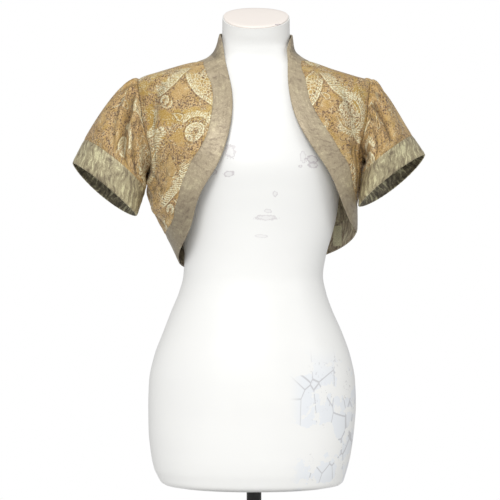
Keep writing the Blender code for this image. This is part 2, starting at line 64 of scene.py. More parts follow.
# The base plate's turned edges, below and above: how far each row lies in from the rim, and
# how far it stands above the underside, or below the top.
BASE_EDGE = (
    (0.0016, 0.0000),
    (0.0005, 0.0004),
    (0.0000, 0.0015),
)
BASE_TOP_EDGE = (
    (0.0000, 0.0018),
    (0.0006, 0.0005),
    (0.0020, 0.0000),
    (0.0300, 0.0000),
    (0.1200, 0.0000),
)
# The neck cap's rings: their share of the neck's size, and how far each stands above its rim.
CAP_PROFILE = (
    (0.955, 0.0002),
    (0.962, 0.0006),
    (0.963, 0.0022),
    (0.956, 0.0029),
    (0.945, 0.0032),
    (0.800, 0.0035),
    (0.500, 0.0038),
    (0.200, 0.0040),
)

FORM_AROUND = 192
FORM_RINGS = 240
# How far the form's sections fill out towards their corners, and how far its skin is drawn in
# under the cloth.
FORM_SQUARENESS = 0.02
FORM_INSET = 0.0004
# The neck is cut on a slant, which grows from this height up to the top.
NECK_TOP = 0.951
NECK_SLANT = 0.43
NECK_SLANT_FROM = 0.897
# Edges sharper than this many degrees stay sharp.
SHARP_ANGLE = 40

# Each row is a level section: its height, then how far it reaches from the middle.
FORM_SECTIONS = (
    # height, left, right, front, back
    (0.1550, 0.1340, 0.1300, 0.0880, 0.0940),
    (0.1570, 0.1490, 0.1440, 0.0990, 0.1050),
    (0.1630, 0.1590, 0.1520, 0.1050, 0.1110),
    (0.1720, 0.1640, 0.1550, 0.1080, 0.1150),
    (0.1850, 0.1700, 0.1590, 0.1120, 0.1210),
    (0.2110, 0.1755, 0.1650, 0.1160, 0.1290),
    (0.2520, 0.1795, 0.1705, 0.1180, 0.1330),
    (0.2930, 0.1800, 0.1735, 0.1180, 0.1340),
    (0.3340, 0.1785, 0.1720, 0.1160, 0.1300),
    (0.3750, 0.1700, 0.1640, 0.1110, 0.1190),
    (0.4150, 0.1550, 0.1500, 0.1040, 0.1040),
    (0.4560, 0.1390, 0.1320, 0.0970, 0.0900),
    (0.4840, 0.1275, 0.1225, 0.0920, 0.0830),
    (0.5110, 0.1205, 0.1175, 0.0895, 0.0805),
    (0.5450, 0.1185, 0.1225, 0.0905, 0.0810),
    (0.5800, 0.1250, 0.1325, 0.0930, 0.0840),
    (0.6100, 0.1330, 0.1400, 0.0975, 0.0885),
    (0.6500, 0.1400, 0.1460, 0.1070, 0.0950),
    (0.7000, 0.1480, 0.1530, 0.1180, 0.1020),
    (0.7400, 0.1560, 0.1600, 0.1120, 0.1045),
    (0.7800, 0.1660, 0.1690, 0.0980, 0.1025),
    (0.8100, 0.1750, 0.1770, 0.0840, 0.0960),
    (0.8280, 0.1785, 0.1790, 0.0730, 0.0880),
    (0.8400, 0.1760, 0.1720, 0.0670, 0.0810),
    (0.8470, 0.1700, 0.1600, 0.0630, 0.0775),
    (0.8535, 0.1650, 0.1505, 0.0595, 0.0750),
    (0.8600, 0.1432, 0.1297, 0.0560, 0.0715),
    (0.8668, 0.1192, 0.1107, 0.0535, 0.0700),
    (0.8713, 0.0970, 0.0958, 0.0515, 0.0685),
    (0.8755, 0.0820, 0.0850, 0.0505, 0.0655),
    (0.8809, 0.0725, 0.0760, 0.0505, 0.0625),
    (0.8890, 0.0640, 0.0685, 0.0515, 0.0590),
    (0.9050, 0.0575, 0.0620, 0.0550, 0.0550),
    (0.9250, 0.0545, 0.0612, 0.0610, 0.0510),
    (0.9510, 0.0540, 0.0610, 0.0670, 0.0460),
)

JACKET_SQUARENESS = 0.045
JACKET_SECTIONS = (
    # height, left, right, front, back
    (0.5150, 0.1250, 0.1600, 0.1210, 0.1100),
    (0.5350, 0.1290, 0.1660, 0.1215, 0.1100),
    (0.5550, 0.1370, 0.1720, 0.1220, 0.1100),
    (0.5800, 0.1490, 0.1750, 0.1230, 0.1100),
    (0.6050, 0.1610, 0.1755, 0.1250, 0.1110),
    (0.6300, 0.1760, 0.1750, 0.1280, 0.1120),
    (0.6600, 0.1770, 0.1765, 0.1310, 0.1130),
    (0.6850, 0.1755, 0.1785, 0.1320, 0.1130),
    (0.7100, 0.1825, 0.1815, 0.1310, 0.1120),
    (0.7500, 0.1950, 0.1960, 0.1200, 0.1110),
    (0.7900, 0.2010, 0.2010, 0.1015, 0.1060),
    (0.8200, 0.2020, 0.2015, 0.0850, 0.0980),
    (0.8380, 0.1995, 0.1980, 0.0740, 0.0900),
    (0.8440, 0.1960, 0.1900, 0.0705, 0.0860),
    (0.8483, 0.1890, 0.1755, 0.0690, 0.0835),
    (0.8551, 0.1670, 0.1530, 0.0650, 0.0795),
    (0.8619, 0.1445, 0.1310, 0.0615, 0.0755),
    (0.8687, 0.1205, 0.1120, 0.0600, 0.0740),
    (0.8735, 0.0980, 0.0970, 0.0595, 0.0720),
    (0.8780, 0.0840, 0.0870, 0.0590, 0.0700),
    (0.8835, 0.0755, 0.0785, 0.0585, 0.0675),
    (0.8905, 0.0690, 0.0710, 0.0595, 0.0645),
    (0.8980, 0.0650, 0.0680, 0.0610, 0.0620),
    (0.9090, 0.0615, 0.0665, 0.0635, 0.0590),
    (0.9220, 0.0590, 0.0655, 0.0665, 0.0570),
    (0.9450, 0.0580, 0.0650, 0.0700, 0.0550),
)

# The angle of the side seams, and the heights of the shoulder's outer end, of the neck seam at
# the middle of the back, and of the neck band's free edge there.
SIDE_SEAM = 97.0
SHOULDER_POINT = 0.8460
NECK_SEAM_BACK = 0.8825
NECK_EDGE_BACK = 0.9290

# The band from the side of the neck down the front to the side seam: where it is sewn to the
# brocade, and its free edge.
FRONT_BANDS = {
    LEFT: (
        # seam angle, seam height, edge angle, edge height
        (90, 0.8735, 90, 0.922),
        (62, 0.8725, 66, 0.914),
        (47, 0.8710, 51, 0.897),
        (40, 0.8670, 42, 0.886),
        (33, 0.8610, 32, 0.876),
        (27, 0.8540, 21, 0.866),
        (23, 0.8450, 14.5, 0.853),
        (20.5, 0.8320, 11.3, 0.837),
        (19.3, 0.8060, 9.8, 0.811),
        (20, 0.783, 10, 0.783),
        (22, 0.753, 12, 0.748),
        (27, 0.724, 17, 0.704),
        (35.5, 0.693, 24.5, 0.671),
        (40.5, 0.662, 30, 0.645),
        (43.5, 0.636, 33, 0.622),
        (51, 0.610, 40, 0.594),
        (64, 0.592, 53, 0.566),
        (93, 0.579, 88, 0.535),
        (97, 0.578, 97, 0.532),
    ),
    RIGHT: (
        (90, 0.8735, 90, 0.920),
        (68, 0.8735, 66, 0.911),
        (53, 0.8730, 51, 0.894),
        (43, 0.8690, 41, 0.881),
        (34, 0.8600, 29, 0.867),
        (28, 0.8500, 20.5, 0.854),
        (24.8, 0.8380, 16, 0.841),
        (26, 0.8080, 16.8, 0.811),
        (29, 0.785, 18, 0.784),
        (34, 0.760, 22, 0.757),
        (40, 0.739, 27, 0.733),
        (47.5, 0.718, 34.5, 0.708),
        (55.5, 0.699, 43, 0.682),
        (62, 0.677, 49, 0.653),
        (69, 0.654, 55, 0.628),
        (78, 0.637, 66, 0.597),
        (93, 0.631, 92, 0.584),
        (97, 0.630, 97, 0.583),
    ),
}

# The share of the band's seam, from the top, that faces the armhole.
BESIDE_ARMHOLE = {LEFT: 0.72, RIGHT: 0.84}

# The hem band round the back, from the left side seam to the right one. Its angle is counted
# from the middle of the back.
HEM_BAND = (
    # angle, seam height, edge height
    (-83, 0.578, 0.532),
    (-60, 0.569, 0.523),
    (-20, 0.565, 0.520),
    (20, 0.572, 0.527),
    (40, 0.587, 0.542),
    (55, 0.602, 0.556),
    (70, 0.618, 0.571),
    (83, 0.630, 0.583),
)

# Each armhole, from the shoulder down to the underarm.
ARMHOLES = {
    LEFT: (
        # height, front angle, back angle
        (0.8460, 90, 90),
        (0.8400, 80, 99),
        (0.8230, 71, 109),
        (0.7900, 67, 116),
        (0.7550, 66, 119),
        (0.7200, 69, 118),
        (0.6950, 79, 110),
        (0.6850, 97, 97),
    ),
    RIGHT: (
        (0.8460, 90, 90),
        (0.8400, 80, 99),
        (0.8250, 72, 108),
        (0.7950, 68, 115),
        (0.7650, 67, 118),
        (0.7350, 70, 117),
        (0.7130, 80, 110),
        (0.7050, 97, 97),
    ),
}

# Soft folds of the body: a ridge where the depth is positive, a trough where it is negative.
BODY_FOLDS = (
    # side, from angle, from height, to angle, to height, width, depth
    (LEFT, 34, 0.850, 54, 0.715, 0.016, 0.0040),
    (LEFT, 48, 0.805, 74, 0.690, 0.012, -0.0040),
    (LEFT, 60, 0.705, 90, 0.650, 0.010, 0.0035),
    (LEFT, 62, 0.665, 90, 0.620, 0.009, -0.0030),
    (LEFT, 58, 0.640, 88, 0.590, 0.010, 0.0030),
    (LEFT, 150, 0.810, 116, 0.670, 0.018, 0.0035),
    (LEFT, 135, 0.760, 108, 0.650, 0.013, -0.0030),
    (RIGHT, 34, 0.850, 50, 0.735, 0.016, 0.0035),
    (RIGHT, 46, 0.800, 70, 0.705, 0.011, -0.0035),
    (RIGHT, 52, 0.715, 74, 0.660, 0.009, 0.0030),
    (RIGHT, 150, 0.810, 116, 0.690, 0.018, 0.0035),
    (RIGHT, 138, 0.760, 108, 0.670, 0.013, -0.0030),
    (RIGHT, 172, 0.800, 168, 0.620, 0.020, -0.0030),
)
# The radius that turns an angle round the body into a length along its cloth.
FOLD_RADIUS = 0.155
# Where along its length a body fold rises from nothing and dies away again.
FOLD_RISES = (-0.25, 0.3)
FOLD_DIES = (0.7, 1.25)
# The heights between which the body folds die away towards the shoulders.
FOLDS_FADE = (0.825, 0.852)

# The ends of each cuff's two edges: distance from the middle, depth and height. The front of
# an edge is lifted towards the shoulder, and its back dropped, so the cuff opens to the front.
SLEEVES = {
    LEFT: {
        "seam": {
            "outer": (0.289, 0.004, 0.742),
            "inner": (0.183, -0.026, 0.657),
            "depth": 0.050,
            "lift": 0.009,
            "drop": 0.009,
        },
        "rim": {
            "outer": (0.309, 0.004, 0.703),
            "inner": (0.198, -0.020, 0.613),
            "depth": 0.046,
            "lift": 0.007,
            "drop": 0.013,
        },
        "start": 0.57,
        "end": 0.90,
    },
    RIGHT: {
        "seam": {
            "outer": (0.269, 0.000, 0.749),
            "inner": (0.183, -0.032, 0.684),
            "depth": 0.056,
            "lift": 0.005,
            "drop": 0.010,
        },
        "rim": {
            "outer": (0.291, 0.000, 0.717),
            "inner": (0.1755, -0.026, 0.629),
            "depth": 0.046,
            "lift": 0.008,
            "drop": 0.014,
        },
        "start": 0.66,
        "end": 0.90,
    },
}
# How much a cuff's loop narrows towards its ends, which way a sleeve leaves its armhole, and
# how much it widens there.
CUFF_PINCH = 1.3
SLEEVE_OUTWARD = (1.0, 0.0, 0.0)
SLEEVE_SPREAD = 0.20

# Folds of each sleeve. A place round it runs from 0 at the shoulder to 0.25 at the front, 0.5
# at the underarm and 0.75 at the back, and a place along it from 0 at the armhole to 1.
SLEEVE_FOLDS = {
    LEFT: (
        # around at the start, around at the end, from, to, width, depth
        (0.10, 0.40, 0.05, 1.05, 0.050, -0.0090),
        (0.17, 0.46, 0.02, 0.75, 0.035, 0.0050),
        (0.03, 0.14, 0.20, 1.10, 0.050, 0.0040),
        (0.92, 0.72, 0.05, 0.95, 0.050, -0.0060),
        (0.82, 0.60, 0.05, 0.80, 0.040, 0.0040),
    ),
    RIGHT: (
        (0.16, 0.26, 0.05, 0.95, 0.045, -0.0060),
        (0.26, 0.40, 0.05, 0.90, 0.045, 0.0050),
        (0.07, 0.10, 0.15, 1.00, 0.040, -0.0035),
        (0.90, 0.76, 0.05, 0.95, 0.050, -0.0060),
        (0.80, 0.62, 0.05, 0.80, 0.040, 0.0040),
    ),
}
# How much of a sleeve fold's length it takes to rise, and to die away.
SLEEVE_FOLD_RISE = 0.25
SLEEVE_FOLD_FALL = 0.30

# The gathers at each sleeve's head: how many there are to each side of the shoulder, how far
# round they reach, how deep they are, and where along the sleeve they rise and die away.
GATHERS = 6
GATHER_SPAN = 0.30
GATHER_DEPTH = 0.0022
GATHERS_THIN_OUT = 0.18
GATHERS_RISE = (0.0, 0.12)
GATHERS_DIE = (0.20, 0.45)

# Small creases of the body, as the larger folds are given.
BODY_CREASES = (
    # side, from angle, from height, to angle, to height, width, depth
    (LEFT, 55, 0.768, 61, 0.708, 0.0042, -0.0044),
    (LEFT, 61, 0.766, 66, 0.700, 0.0055, 0.0028),
    (LEFT, 80, 0.703, 56, 0.655, 0.0045, -0.0022),
    (LEFT, 88, 0.690, 66, 0.632, 0.0050, 0.0024),
    (LEFT, 92, 0.668, 72, 0.604, 0.0045, -0.0024),
    (LEFT, 84, 0.640, 60, 0.594, 0.0050, 0.0020),
    (LEFT, 95, 0.640, 84, 0.588, 0.0040, -0.0020),
    (LEFT, 92, 0.700, 93, 0.640, 0.0140, 0.0052),
    (RIGHT, 91, 0.722, 92, 0.645, 0.0140, 0.0066),
    (LEFT, 28, 0.812, 42, 0.742, 0.0070, 0.0012),
    (LEFT, 24, 0.776, 40, 0.702, 0.0080, -0.0012),
    (LEFT, 44, 0.835, 60, 0.780, 0.0075, -0.0013),
    (LEFT, 40, 0.706, 54, 0.640, 0.0060, 0.0014),
    (LEFT, 50, 0.690, 62, 0.634, 0.0050, -0.0014),
    (LEFT, 54, 0.640, 68, 0.606, 0.0050, 0.0013),
    (LEFT, 30, 0.740, 42, 0.680, 0.0055, 0.0010),
    (RIGHT, 60, 0.752, 77, 0.672, 0.0042, 0.0036),
    (RIGHT, 55, 0.735, 75, 0.650, 0.0042, -0.0034),
    (RIGHT, 66, 0.756, 82, 0.664, 0.0038, -0.0036),
    (RIGHT, 72, 0.748, 86, 0.656, 0.0040, 0.0034),
    (RIGHT, 50, 0.728, 68, 0.676, 0.0046, 0.0024),
    (RIGHT, 40, 0.836, 56, 0.764, 0.0080, -0.0014),
    (RIGHT, 48, 0.846, 62, 0.790, 0.0070, 0.0012),
    (RIGHT, 34, 0.800, 48, 0.742, 0.0070, 0.0012),
    (RIGHT, 44, 0.776, 62, 0.722, 0.0065, -0.0014),
    (RIGHT, 50, 0.748, 66, 0.702, 0.0050, 0.0012),
    (LEFT, 114, 0.790, 118, 0.700, 0.0060, 0.0018),
    (LEFT, 122, 0.760, 108, 0.680, 0.0050, -0.0020),
    (LEFT, 130, 0.720, 106, 0.664, 0.0055, 0.0018),
    (LEFT, 142, 0.830, 128, 0.760, 0.0080, -0.0014),
    (LEFT, 156, 0.800, 138, 0.700, 0.0080, 0.0014),
    (LEFT, 164, 0.700, 140, 0.630, 0.0080, -0.0016),
    (LEFT, 146, 0.670, 118, 0.606, 0.0060, 0.0016),
    (LEFT, 128, 0.650, 104, 0.604, 0.0050, -0.0018),
    (LEFT, 176, 0.830, 170, 0.740, 0.0090, 0.0012),
    (RIGHT, 112, 0.790, 116, 0.706, 0.0060, 0.0018),
    (RIGHT, 122, 0.768, 108, 0.694, 0.0050, -0.0020),
    (RIGHT, 132, 0.736, 106, 0.684, 0.0055, 0.0018),
    (RIGHT, 144, 0.834, 130, 0.770, 0.0080, -0.0014),
    (RIGHT, 152, 0.760, 130, 0.680, 0.0075, 0.0014),
    (RIGHT, 160, 0.700, 136, 0.646, 0.0080, -0.0016),
    (RIGHT, 140, 0.680, 114, 0.640, 0.0060, 0.0014),
    (RIGHT, 178, 0.690, 166, 0.620, 0.0080, 0.0014),
)

# Small creases of each sleeve, as its larger folds are given.
SLEEVE_CREASES = {
    LEFT: (
        # around at the start, around at the end, from, to, width, depth
        (0.098, 0.335, 0.00, 1.00, 0.015, -0.0100),
        (0.134, 0.378, 0.00, 0.95, 0.015, 0.0054),
        (0.060, 0.290, 0.05, 0.95, 0.013, 0.0040),
        (0.180, 0.400, 0.00, 0.70, 0.012, -0.0022),
        (0.240, 0.430, 0.05, 0.60, 0.012, 0.0018),
        (0.060, 0.180, 0.30, 1.05, 0.014, 0.0016),
        (0.020, 0.070, 0.25, 0.95, 0.013, -0.0012),
        (0.300, 0.350, 0.45, 1.05, 0.012, 0.0014),
        (0.970, 0.880, 0.10, 0.90, 0.014, -0.0018),
        (0.900, 0.760, 0.05, 0.85, 0.013, 0.0022),
        (0.840, 0.690, 0.05, 0.75, 0.014, -0.0020),
        (0.760, 0.620, 0.10, 0.90, 0.013, 0.0016),
    ),
    RIGHT: (
        (0.150, 0.235, 0.10, 1.00, 0.012, -0.0056),
        (0.185, 0.285, 0.05, 1.05, 0.013, 0.0048),
        (0.225, 0.345, 0.05, 0.95, 0.011, -0.0044),
        (0.270, 0.380, 0.10, 0.80, 0.012, 0.0020),
        (0.085, 0.130, 0.20, 1.00, 0.014, 0.0014),
        (0.040, 0.060, 0.15, 0.90, 0.013, -0.0012),
        (0.330, 0.420, 0.30, 1.00, 0.012, -0.0014),
        (0.960, 0.900, 0.10, 0.90, 0.014, -0.0018),
        (0.890, 0.780, 0.05, 0.85, 0.013, 0.0022),
        (0.830, 0.700, 0.05, 0.75, 0.014, -0.0020),
        (0.740, 0.640, 0.10, 0.90, 0.013, 0.0016),
    ),
}

# Small pleats at the sleeve head: how far round from the shoulder, how wide and how deep.
HEAD_PLEATS = (
    (-0.232, 0.0075, 0.0010),
    (-0.190, 0.0090, 0.0016),
    (-0.148, 0.0080, 0.0012),
    (-0.112, 0.0085, 0.0017),
    (-0.064, 0.0080, 0.0011),
    (-0.026, 0.0070, 0.0013),
    (0.018, 0.0080, 0.0012),
    (0.052, 0.0075, 0.0016),
    (0.094, 0.0085, 0.0013),
    (0.127, 0.0070, 0.0017),
    (0.171, 0.0085, 0.0012),
    (0.208, 0.0080, 0.0014),
)
# Where along the sleeve they rise and die away.
HEAD_PLEATS_RISE = (0.0, 0.05)
HEAD_PLEATS_DIE = (0.10, 0.34)

# How finely each stretch of the cloth is divided.
ARMHOLE_ROWS = 96
SIDE_ROWS = 48
FRONT_COLUMNS = 60
SHOULDER_COLUMNS = 32
NECK_COLUMNS = 72
BAND_COLUMNS = 16
BAND_END_ROWS = 4
SLEEVE_ROWS = 64
CUFF_ROWS = 20
# How finely the jacket's body is divided to find lengths along its cloth.
LENGTH_COLUMNS = 91
LENGTH_ROWS = 216

# The cloth rises a little between its seams, and pulls in over this distance beside them.
CLOTH_LOFT = 0.0005
BAND_LOFT = 0.0007
SEAM_SOFTNESS = 0.0035
# How far an edge bulges, as a share of the cloth's thickness.
EDGE_ROUNDING = 0.30

# The puckers beside a seam: their depth, their spacing, how far they reach into the cloth, and
# how near the seam they start.
PUCKER_DEPTH = 0.00045
PUCKER_SPACING = 0.0085
PUCKER_REACH = 0.0110
PUCKER_START = 0.0015
# How often each point of a band's free edge is moved to the middle of its neighbours.
EDGE_PASSES = 45
# How deep the taffeta is crushed, and how near an edge it lies flat.
CUFF_CRUSH = 0.00042
BAND_CRUSH = 0.00018
CRUSH_START = 0.004
# How crushed a pressed band still looks, where a cuff is 1.
PRESSED_CRUSH = 0.45
# Where painted shade darkens the pressed bands towards the hem, and by how much.
LOW_PAINTED_SHADE_FROM = 0.700
LOW_PAINTED_SHADE_TO = 0.600
LOW_PAINTED_SHADE = 0.30

# Where each brocade piece was laid on the figured cloth.
LAID_AT = {
    "front_left": (0.031, 0.016),
    "front_right": (0.019, 0.035),
    "back": (0.000, 0.030),
    "sleeve_left": (0.020, 0.125),
    "sleeve_right": (-0.020, 0.110),
}

# The feathered arcs woven into the brocade: how wide and high one repeat of the cloth is, and
# where the middle of one lies. Every second column is turned over.
FEATHER_REPEAT = (0.236, 0.190)
FEATHERS_FROM = (-0.092, 0.325)
FEATHERS = (
    # across, up, radius, way it faces, half its sweep, reach of its strokes, reach of its mesh
    (-0.073, 0.085, 0.0890, -40, 29, 0.0170, 0.0),
    (-0.026, -0.006, 0.0080, 60, 150, 0.0045, 0.0),
    (0.094, 0.047, 0.0820, -145, 34, 0.0050, 0.0420),
    (0.025, -0.068, 0.0150, 90, 170, 0.0050, 0.0120),
    (0.025, -0.066, 0.0250, 80, 62, -0.0070, 0.0),
    (-0.088, -0.030, 0.0420, -30, 40, 0.0090, 0.0),
)

# The columns of paisley drops: how wide a column is, how often a drop comes back in it, how far
# it is shifted down, the radius of a drop's round end, and how far it leans.
BIG_DROPS = {
    "Column_width": 0.118,
    "Repeat": 0.176,
    "Shift": 0.03,
    "Drop_radius": 0.0260,
    "Lean": 0.45,
}
SMALL_DROPS = {
    "Column_width": 0.0787,
    "Repeat": 0.1173,
    "Shift": 0.088,
    "Drop_radius": 0.0105,
    "Lean": -0.40,
}
TINY_DROPS = {
    "Column_width": 0.0393,
    "Repeat": 0.0503,
    "Shift": 0.012,
    "Drop_radius": 0.0058,
    "Lean": 0.70,
}
# A drop's length, where its round end's middle lies and how far its tail bends over, all in its
# radius; how finely the tail ends, and how steeply its sides fall.
DROP_LENGTH = 2.9
DROP_MIDDLE = 0.95
TAIL_BEND = 1.15
TAIL_FINENESS = 1.25
TAIL_SLOPE = 0.85

# The figures' strokes, and how many cells of mesh, flecks and dots there are in a metre.
STROKE_SPACING = 0.0046
SMALL_STROKE_SPACING = 0.0040
STROKE_LEAN = 0.8
STROKE_UNEVEN = 0.0045
MESH_CELLS = 150.0
FLECK_CELLS = 250.0
DOT_CELLS = 290.0
# How far the cloth's figures are drawn out of true.
SWAY = 0.016
# The spacing of the woven threads, and how uneven they are.
BROCADE_THREAD = 0.0009
BROCADE_SLUB = 0.22
TAFFETA_THREAD = 0.0007
TAFFETA_SLUB = 0.18
FULL_TURN = 6.283

# How far a place has to lie below the cloth round it to count as the bottom of a crease, the
# steps of the grid that are compared, and how much darker its painted crease shade then makes it.
CREASE_BOTTOM = 0.0011
CREASE_STEPS = (2, 4)
PAINTED_CREASE_SHADE = 0.42
# How many rows along a border are left out of this.
CREASE_BORDER = 4

# The pale patch on the lining by the right side seam, painted as a highlight, and how soft its edge is.
PAINTED_HIGHLIGHT_PATCH = ((0.137, 0.153), (0.010, 0.090), (0.561, 0.598))
PATCH_EDGE = 0.0020

# The colours of the cloth's threads, and of the scuffs, cracks and worn paint of the form.
GOLD_DEEP = (0.470, 0.285, 0.052)
GOLD_LIGHT = (0.580, 0.395, 0.120)
COPPER = (0.610, 0.395, 0.205)
BROWN = (0.080, 0.042, 0.034)
CREAM = (0.830, 0.790, 0.540)
SCUFF = (0.440, 0.390, 0.420)
CRACK = (0.330, 0.310, 0.310)
BARE = (0.740, 0.780, 0.840)

# The taffeta's darkest, middle and lightest tone, which paint the shade and highlights of its
# crumples: pressed bands, crushed cuffs, the cuffs' inside, darkened to a painted deep shade, and the
# lining.
PRESSED_TONES = ((0.280, 0.220, 0.150), (0.430, 0.355, 0.238), (0.620, 0.540, 0.350))
CRUSHED_TONES = ((0.220, 0.178, 0.110), (0.430, 0.370, 0.225), (0.740, 0.690, 0.420))
CUFF_LINING_PAINTED_SHADE_TONES = ((0.065, 0.054, 0.032), (0.165, 0.142, 0.088), (0.560, 0.530, 0.330))
LINING_TONES = ((0.260, 0.205, 0.150), (0.500, 0.425, 0.305), (0.840, 0.790, 0.580))

# Scuffs on the form's paint and on its neck cap.
FORM_SCUFFS = (
    # across from the middle, up, half width, half height, strength
    (-0.039, 0.7165, 0.0080, 0.0095, 0.45),
    (-0.0665, 0.6825, 0.0048, 0.0034, 0.55),
    (-0.0425, 0.6800, 0.0078, 0.0042, 0.55),
    (0.0800, 0.7080, 0.0045, 0.0090, 0.35),
    (0.0950, 0.7040, 0.0085, 0.0060, 0.60),
    (0.0965, 0.6945, 0.0070, 0.0048, 0.55),
    (0.0760, 0.6930, 0.0032, 0.0026, 0.50),
    (0.0340, 0.6480, 0.0038, 0.0044, 0.40),
    (0.0220, 0.6190, 0.0050, 0.0030, 0.35),
    (0.0200, 0.6080, 0.0150, 0.0040, 0.40),
    (0.0120, 0.5780, 0.0090, 0.0022, 0.30),
)
CAP_SCUFFS = ((0.041, 0.9318, 0.0044, 0.0013, 1.0),)
# The heights and the distances to the right between which the hip's cracks, and then its
# specks, fade in.
CRACKED_BELOW = (0.40, 0.34)
CRACKED_RIGHT_OF = (0.055, 0.085)
SPECKLED_BELOW = (0.42, 0.36)
SPECKLED_RIGHT_OF = (0.080, 0.105)

# The paint's clean tone and its dull one, then the stand's black and the dust on it.
WHITE_PAINT = ((0.86, 0.86, 0.84), (0.80, 0.80, 0.785))
CAP_PAINT = ((0.93, 0.86, 0.80), (0.90, 0.82, 0.76))
STEEL_BLACK, STEEL_DUST = (0.018, 0.017, 0.016), (0.055, 0.052, 0.048)
FLOOR_WHITE = (0.930, 0.930, 0.930, 1.0)

# The kinds of a node group's inputs and outputs.
NUMBER, VECTOR = "NodeSocketFloat", "NodeSocketVector"

CAMERA_PLACE = (-0.0068, -3.0, 0.555)
CAMERA_TURN = (90.0, 0.0, 0.0)
CAMERA_LENS = 127.06

FLOOR_RADIUS = 0.85
FLOOR_SIDES = 96
# How bright the white studio round the object is to everything but the camera.
STUDIO_LIGHT = 0.56
LAMPS = (
    # name, place, aimed at, width, power
    ("key light", (-0.5, -2.7, 2.2), (0.0, 0.0, 0.66), 1.3, 62.0),
    ("side light", (2.2, -1.6, 1.2), (0.0, 0.0, 0.60), 1.0, 6.0),
)


def smooth(where, stations, values):
    """A smooth curve through the values at these rising stations, which never overshoots them."""
    stations = np.asarray(stations, float)
    values = np.asarray(values, float)
    steps = np.diff(stations)
    rises = np.diff(values) / steps
    product = rises[:-1] * rises[1:]
    total = np.where(product > 0, rises[:-1] + rises[1:], 1.0)
    inner = np.where(product > 0, 2 * product / total, 0.0)
    slopes = np.concatenate([rises[:1], inner, rises[-1:]])
    where = np.clip(where, stations[0], stations[-1])
    k = np.clip(np.searchsorted(stations, where, side="right") - 1, 0, len(steps) - 1)
    t = (where - stations[k]) / steps[k]
    start = (1 + 2 * t) * (1 - t) ** 2 * values[k] + t * (1 - t) ** 2 * steps[k] * slopes[k]
    end = t * t * (3 - 2 * t) * values[k + 1] - t * t * (1 - t) * steps[k] * slopes[k + 1]
    return start + end


def ease(value, start, end):
    """0 up to the start and 1 from the end, smooth between."""
    t = np.clip((value - start) / (end - start), 0.0, 1.0)
    return t * t * (3 - 2 * t)


def unit(vectors):
    """Each vector at a length of 1."""
    return vectors / np.linalg.norm(vectors, axis=-1, keepdims=True)


def section_point(sections, squareness, side, angle, height):
    """The point at this angle round the level section at this height. Side is -1, 1 or an array."""
    heights, left, right, front, back = np.array(sections).T
    turn = np.radians(angle)
    width = np.where(side < 0, smooth(height, heights, left), smooth(height, heights, right))
    depth_front = smooth(height, heights, front)
    depth = np.where(np.cos(turn) > 0, depth_front, smooth(height, heights, back))
    fuller = 1 + squareness * np.sin(2 * turn) ** 2
    x = side * width * np.sin(turn) * fuller
    y = -depth * np.cos(turn) * fuller
    return np.stack([x, y, height + 0 * x], axis=-1)


def body_fold(side, angle, height):
    """How far the folds and creases move the jacket's body out."""
    across = np.radians(angle) * FOLD_RADIUS
    moved = np.zeros(np.broadcast(side, angle, height).shape)
    for fold_side, angle_a, height_a, angle_b, height_b, width, depth in BODY_FOLDS + BODY_CREASES:
        start = np.array([np.radians(angle_a) * FOLD_RADIUS, height_a])
        along = np.array([np.radians(angle_b) * FOLD_RADIUS, height_b]) - start
        length = np.linalg.norm(along)
        along /= length
        offset_x, offset_z = across - start[0], height - start[1]
        reach = (offset_x * along[0] + offset_z * along[1]) / length
        aside = offset_x * along[1] - offset_z * along[0]
        taper = ease(reach, *FOLD_RISES) * (1 - ease(reach, *FOLD_DIES))
        moved = moved + depth * np.exp(-((aside / width) ** 2)) * taper * (side == fold_side)
    return moved * (1 - ease(height, *FOLDS_FADE))


def body_point(side, angle, height):
    """The outside of the jacket's body."""
    side, angle, height = np.broadcast_arrays(side, np.asarray(angle, float), height)
    points = section_point(JACKET_SECTIONS, JACKET_SQUARENESS, side, angle, height)
    turn = np.radians(angle)
    outward = np.stack([side * np.sin(turn), -np.cos(turn), 0 * turn], axis=-1)
    return points + outward * body_fold(side, angle, height)[..., None]


def travelled(grid, axis):
    """The length walked along the grid's rows or columns up to each point."""
    steps = np.linalg.norm(np.diff(grid, axis=axis), axis=-1)
    start = np.zeros_like(np.take(steps, [0], axis=axis))
    return np.concatenate([start, np.cumsum(steps, axis=axis)], axis=axis)


def cloth_lengths(side):
    """Over a grid of places, the length round the body from the front, and up it, along the cloth."""
    angles = np.linspace(0, 180, LENGTH_COLUMNS)
    heights = np.linspace(JACKET_SECTIONS[0][0], JACKET_SECTIONS[-1][0], LENGTH_ROWS)
    places = (side, angles[:, None], heights[None, :])
    points = section_point(JACKET_SECTIONS, JACKET_SQUARENESS, *places)
    return angles, heights, travelled(points, 0), travelled(points, 1)


LENGTHS = {side: cloth_lengths(side) for side in (LEFT, RIGHT)}


def between_places(angles, heights, values, angle, height):
    """The value at this angle and height, read between the places of the grid."""
    a = np.clip((angle - angles[0]) / (angles[1] - angles[0]), 0, len(angles) - 1.001)
    h = np.clip((height - heights[0]) / (heights[1] - heights[0]), 0, len(heights) - 1.001)
    i, j = a.astype(int), h.astype(int)
    s, t = a - i, h - j
    low = values[i, j] * (1 - s) + values[i + 1, j] * s
    high = values[i, j + 1] * (1 - s) + values[i + 1, j + 1] * s
    return low * (1 - t) + high * t


def body_place(side, angle, height, from_back=False):
    """Where this place lies on the cloth laid flat: across from the middle, and up."""
    angles, heights, around, up = LENGTHS[side]
    across = between_places(angles, heights, around, angle, height)
    if from_back:
        across = between_places(angles, heights, around, 0 * angle + 180, height) - across
    raised = between_places(angles, heights, up, angle, height)
    return np.stack([side * across, raised], axis=-1)


def back_point(angle, height):
    """The same surface, with the angle counted from the middle of the back and minus to the left."""
    return body_point(np.where(angle < 0, LEFT, RIGHT), 180 - np.abs(angle), height)


def back_place(angle, height):
    """Where this place of the back lies on the cloth laid flat."""
    turn = 180 - np.abs(angle)
    left, right = (body_place(side, turn, height, True) for side in (LEFT, RIGHT))
    return np.where((angle < 0)[..., None], left, right)


